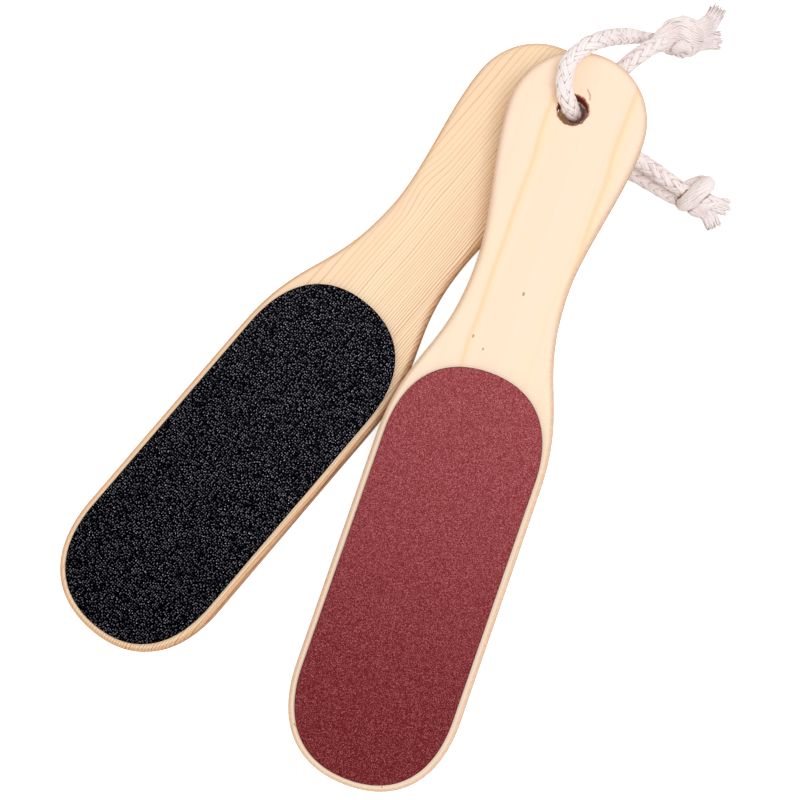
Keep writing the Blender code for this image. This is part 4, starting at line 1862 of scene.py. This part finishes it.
@dataclass
class HangCord:
    """One file's cord: a braided loop through the hole, its knot, and two frayed ends."""

    side: Side
    route: CordRoute
    finish: bpy.types.Material
    braid: Braid
    step: float = 0.00045
    path_stride: int = 4
    core_radius: float = 0.0020
    knot_core: float = 1.15
    core_shade: float = 0.6
    core_sides: int = 8
    # Painted shade of the loop where it lies in the hole
    hole_shade: float = 0.9
    hole_shade_fade: float = 0.03

    def build(self) -> list[bpy.types.Object]:
        """Build the loop, the knot and the ends, in place of their CAD nodes.

        Returns:
            The pieces.
        """
        laid = self.laid_loop()
        runs = [run.laid(self.step, self.braid.diameter) for run in self.route.knot]
        loop = self.dress(self.loop_mesh(laid, runs), "cord_loop")
        knot = self.dress(self.knot_mesh(laid, runs), "cord_knot")
        ends = [
            self.dress(end.mesh(label, self.step, self.braid.diameter), f"cord_end_{label}")
            for label, end in self.route.ends.items()
        ]
        log.info("%s cord: loop of %.1f mm", self.side.value, laid.line.length * 1000)
        return [loop, knot, *ends]

    def dress(self, mesh: bpy.types.Mesh, node: str) -> bpy.types.Object:
        """Put a mesh in the scene, in cotton, in place of its CAD node.

        Args:
            mesh: The mesh.
            node: The CAD node's name, without its side.

        Returns:
            The piece.
        """
        name = f"{self.side.value}_{node}"
        piece = new_object(f"{name}_yarns", mesh)
        mesh.materials.append(self.finish)
        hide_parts(name)
        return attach(piece, f"{self.side.value}_cord")

    def laid_loop(self) -> Laid:
        """Lay the loop along its route.

        Returns:
            The loop with its thickness.
        """
        line = Centreline.through(self.route.loop, self.step)
        swell = np.interp(line.stations / line.length, *zip(*self.route.thickness))
        return Laid(line, swell, self.braid.diameter)

    def core(self, gathered: YarnMesh, laid: Laid, share: float = 1.0) -> None:
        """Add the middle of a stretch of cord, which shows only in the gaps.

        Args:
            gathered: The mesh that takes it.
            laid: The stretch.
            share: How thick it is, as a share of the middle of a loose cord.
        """
        width = 2 * self.core_radius * (share * laid.swell)
        line = laid.line
        gathered.tube(
            line.points, line.normals, width, width, self.core_shade, self.core_sides, 0
        )

    def loop_mesh(self, laid: Laid, knot: list[Laid]) -> bpy.types.Mesh:
        """Make the braided loop, with painted shade where its sides meet, where the knot lies over
        it and in the hole.

        Args:
            laid: The loop along its line.
            knot: The stretches of cord in the knot.

        Returns:
            The mesh.
        """
        gathered = YarnMesh()
        # Painted shade where the loop lies in the hole
        share = laid.line.stations / laid.line.length
        start, stop = self.route.shaded_in_hole
        shares = (start, start + self.hole_shade_fade, stop - self.hole_shade_fade, stop)
        hole_shading = np.interp(share, shares, (0.0, self.hole_shade, self.hole_shade, 0.0))
        self.braid.lay(gathered, laid, hole_shading)
        self.core(gathered, laid)
        gathered.crease(0, laid, [laid, *(run for run in knot if run.crease_shade)])
        return gathered.mesh("loop")

    def knot_mesh(self, loop: Laid, knot: list[Laid]) -> bpy.types.Mesh:
        """Make the knot: each stretch of cord in it, with painted shade where one lies over
        another.

        Args:
            loop: The loop along its line.
            knot: The stretches of cord in the knot.

        Returns:
            The mesh.
        """
        gathered = YarnMesh()
        for run, laid in zip(self.route.knot, knot):
            first = len(gathered.corners)
            run.lay.value.lay(gathered, laid)
            self.core(gathered, laid, self.knot_core)
            others = [other for other in (loop, *knot) if bool(other.crease_shade) != bool(laid.crease_shade)]
            gathered.crease(first, laid, others)
        return gathered.mesh("knot")


# The glue films keep their CAD meshes


def dress_glue(finish: bpy.types.Material) -> list[bpy.types.Object]:
    """Give the films of glue their finish.

    Args:
        finish: The material.

    Returns:
        The CAD objects of the films.
    """
    films = [frame["nodes"][f"{side.value}_{grade.value}_glue"] for side in Side for grade in Grade]
    for film in films:
        film.data.materials.clear()
        film.data.materials.append(finish)
    return films


# The studio


@dataclass(frozen=True)
class Lamp:
    """A soft square lamp that points at the middle of the floor."""

    name: str
    place: Point
    size: float
    strength: float
    colour: Colour

    def build(self) -> None:
        """Hang the lamp."""
        data = bpy.data.lights.new(self.name, "AREA")
        data.size = self.size
        data.energy = self.strength
        data.color = self.colour
        lamp = new_object(self.name, data)
        lamp.location = self.place
        lamp.rotation_euler = (-Vector(self.place)).to_track_quat("-Z", "Y").to_euler()


@dataclass
class Studio:
    """The plain floor, the soft light and the camera."""

    camera_place: Point = (0.04422, -0.089065, 0.600)
    aim: Point = (0.015865, 0.004469, 0.0)
    lens: float = 76.249
    sensor: float = 36.0
    clip_start: float = 0.01
    floor_size: float = 6.0
    floor_drop: float = 0.0001
    floor_colour: Colour = (0.86, 0.86, 0.86)
    floor_glow: float = 0.76
    world_strength: float = 0.67
    world_colour: Colour = (1.0, 0.955, 0.90)
    backdrop_colour: Colour = (1.0, 1.0, 1.0)
    lamps: tuple[Lamp, ...] = (
        Lamp("key", (0.33, -0.14, 1.15), 0.5, 6.2, (0.82, 0.90, 1.0)),
        Lamp("fill", (-0.5, 0.2, 1.2), 0.9, 0.9, (1.0, 1.0, 1.0)),
    )

    def build(self) -> None:
        """Make everything that isn't part of the object."""
        self.build_camera()
        self.build_floor()
        self.build_world()
        for lamp in self.lamps:
            lamp.build()

    def build_camera(self) -> None:
        """Place the camera at the photograph's viewing angle, with +Y up in its picture."""
        data = bpy.data.cameras.new("camera")
        data.lens = self.lens
        data.sensor_width = self.sensor
        data.sensor_fit = "HORIZONTAL"
        data.clip_start = self.clip_start
        camera = new_object("camera", data)
        forward = (Vector(self.aim) - Vector(self.camera_place)).normalized()
        right = forward.cross(Vector((0.0, 1.0, 0.0))).normalized()
        turned = Matrix((right, right.cross(forward), -forward)).transposed().to_4x4()
        turned.translation = Vector(self.camera_place)
        camera.matrix_world = turned
        bpy.context.scene.camera = camera

    def build_floor(self) -> None:
        """Lay a wide pale floor that shows near white and keeps the object's shadow."""
        mesh = bpy.data.meshes.new("floor")
        work = bmesh.new()
        bmesh.ops.create_grid(work, x_segments=1, y_segments=1, size=self.floor_size / 2)
        work.to_mesh(mesh)
        work.free()
        floor = new_object("floor", mesh)
        floor.location.z = -self.floor_drop
        material, wires = new_material("floor_paper")
        paper = wires.add("BsdfDiffuse", {"Color": (*self.floor_colour, 1.0)}).outputs[0]
        dark, glow = (
            wires.add("Emission", {"Strength": strength}).outputs[0]
            for strength in (0.0, self.floor_glow)
        )
        shown = wires.add("MixShader", {0: wires.seen(), 1: dark, 2: glow}).outputs[0]
        both = wires.add("AddShader", {0: paper, 1: shown}).outputs[0]
        wires.add("OutputMaterial", {"Surface": both})
        mesh.materials.append(material)

    def build_world(self) -> None:
        """Light the object evenly from all round, with white behind everything."""
        world = bpy.data.worlds.new("studio")
        bpy.context.scene.world = world
        world.use_nodes = True
        wires = Wiring(world.node_tree)
        light, backdrop = (
            wires.add("Background", {"Color": (*colour, 1.0), "Strength": strength}).outputs[0]
            for colour, strength in (
                (self.world_colour, self.world_strength), (self.backdrop_colour, 1.0),
            )
        )
        shown = wires.add("MixShader", {0: wires.seen(), 1: light, 2: backdrop}).outputs[0]
        wires.add("OutputWorld", {"Surface": shown})


REAR_PINE = PineFinish(
    name="tan_pine_with_close_lines",
    early_wood=srgb(255, 229, 193),
    late_wood=srgb(194, 132, 78),
    warm_wood=srgb(254, 218, 182),
    wall=srgb(232, 182, 138),
    dark_brown_and_shade=srgb(164, 108, 66),
    bore=srgb(176, 98, 72),
    stain=srgb(250, 214, 150),
    stain_line=srgb(226, 170, 104),
    rim_start=0.42,
    pith=(-0.0275, 0.0, -0.0334),
    rings_per_metre=1400.0,
    line_share=0.29,
    line_strength=0.86,
    line_lean=0.5,
    waves=0.0060,
    branch=(-0.0185, 0.1190, 0.0),
    branch_reach=0.016,
    branch_push=0.0024,
    tone_strength=0.7,
    flecks=(Fleck((-0.0214, 0.1428), 0.0008),),
)
FRONT_PINE = PineFinish(
    name="pale_pine_with_soft_streaks",
    early_wood=srgb(255, 229, 204),
    late_wood=srgb(238, 196, 140),
    warm_wood=srgb(254, 229, 194),
    wall=srgb(236, 200, 170),
    dark_brown_and_shade=srgb(170, 118, 80),
    bore=srgb(176, 98, 72),
    stain=srgb(253, 221, 160),
    stain_line=srgb(240, 186, 112),
    rim_start=0.58,
    pith=(0.0020, 0.0, -0.0884),
    rings_per_metre=700.0,
    line_share=0.45,
    line_strength=0.07,
    line_lean=0.0,
    waves=0.010,
    branch=(0.0, 0.0, 0.0),
    branch_reach=0.010,
    branch_push=0.0,
    tone_strength=0.45,
    streaks=(Streak(0.0094, 0.080, 0.190), Streak(-0.0170, 0.110, 0.188, 0.0030)),
    flecks=(
        Fleck((-0.0025, 0.1030), 0.0006),
        Fleck((0.0092, 0.0837), 0.0005),
        Fleck((0.0045, 0.0805), 0.0004),
        Fleck((-0.0119, -0.0721), 0.0003),
    ),
    scratches=(
        Scratch((-0.0002, 0.1776), (-0.0017, 0.1760)),
        Scratch((-0.0017, 0.1760), (-0.0022, 0.1743)),
        Scratch((0.0238, -0.0622), (0.0224, -0.0629)),
    ),
)
BLACK_GRIT = GritFinish(
    name="black_coarse_grit",
    near_resin=srgb(0, 0, 3),
    far_resin=srgb(6, 5, 10),
    near_glint=srgb(134, 131, 141),
    far_glint=srgb(156, 153, 163),
    spark=srgb(250, 251, 255),
    cut_edge_shade=srgb(10, 8, 10),
    grains_per_metre=1250.0,
    heaped=0.0,
    spot=0.34,
    contrast=1.3,
    spark_share=0.08,
    roughness=0.8,
)
MAROON_GRIT = GritFinish(
    name="maroon_fine_grit",
    near_resin=srgb(98, 20, 23),
    far_resin=srgb(140, 54, 58),
    near_glint=srgb(196, 110, 113),
    far_glint=srgb(232, 146, 150),
    spark=srgb(246, 190, 190),
    cut_edge_shade=srgb(70, 26, 26),
    grains_per_metre=3300.0,
    heaped=1.0,
    spot=0.66,
    contrast=1.2,
    spark_share=0.05,
    roughness=0.75,
)
COTTON = CottonFinish(
    name="undyed_cotton_yarn",
    yarn=srgb(255, 250, 247),
    crevice_shade=srgb(140, 92, 86),
    fibre=srgb(252, 236, 233),
    # Painted dark brown shade for the deepest crevices and the loop in the hole
    deep_shade=srgb(170, 92, 62),
    hair_strength=0.60,
)
GLUE = GlueFinish(name="set_glue", body=srgb(240, 226, 200), thin=srgb(246, 218, 182))

# The spacing and the height of the grains of each grade
GRAIN_SIZES = {Grade.COARSE: (0.00048, 0.00030), Grade.FINE: (0.00050, 0.00012)}
HOLE_SEEDS = {Side.REAR: 5, Side.FRONT: 8}
GRAIN_SEEDS = {Side.REAR: 11, Side.FRONT: 12}


def build_file(
    side: Side, shape: PaddleShape, woods: dict[Side, bpy.types.Material],
    grits: dict[Grade, bpy.types.Material],
) -> None:
    """Build one file's wood and both its sheets.

    Args:
        side: Which file.
        shape: Its sizes.
        woods: The finish of each file's wood.
        grits: The finish of each grade.
    """
    placed = file_frame(side, shape)
    paddle = Paddle(side, shape, placed, woods[side], HOLE_SEEDS[side]).build()
    log.info("%s: %d faces", paddle.name, len(paddle.data.polygons))
    for grade, sizes in GRAIN_SIZES.items():
        sheet = AbrasiveSheet(
            side, grade, shape, placed, grits[grade], *sizes, seed=GRAIN_SEEDS[side]
        ).build()
        log.info("%s: %d faces", sheet.name, len(sheet.data.polygons))


def main() -> None:
    """Build the studio, the cords and both files."""
    logging.basicConfig(level=logging.INFO, format="%(message)s")
    bpy.context.scene.view_settings.view_transform = "Standard"
    Studio().build()
    cotton = COTTON.build()
    for side, route in ((Side.FRONT, FRONT_CORD), (Side.REAR, REAR_CORD)):
        for piece in HangCord(side, route, cotton, Braid()).build():
            log.info("%s: %d faces", piece.name, len(piece.data.polygons))
    growth_lines, grains = growth_lines_group(), grains_group()
    woods = {Side.REAR: REAR_PINE.build(growth_lines), Side.FRONT: FRONT_PINE.build(growth_lines)}
    grits = {Grade.COARSE: BLACK_GRIT.build(grains), Grade.FINE: MAROON_GRIT.build(grains)}
    shape = PaddleShape()
    for side in Side:
        build_file(side, shape, woods, grits)
    for film in dress_glue(GLUE.build()):
        log.info("%s: CAD mesh kept", film.name)


if __name__ == "__main__":
    main()
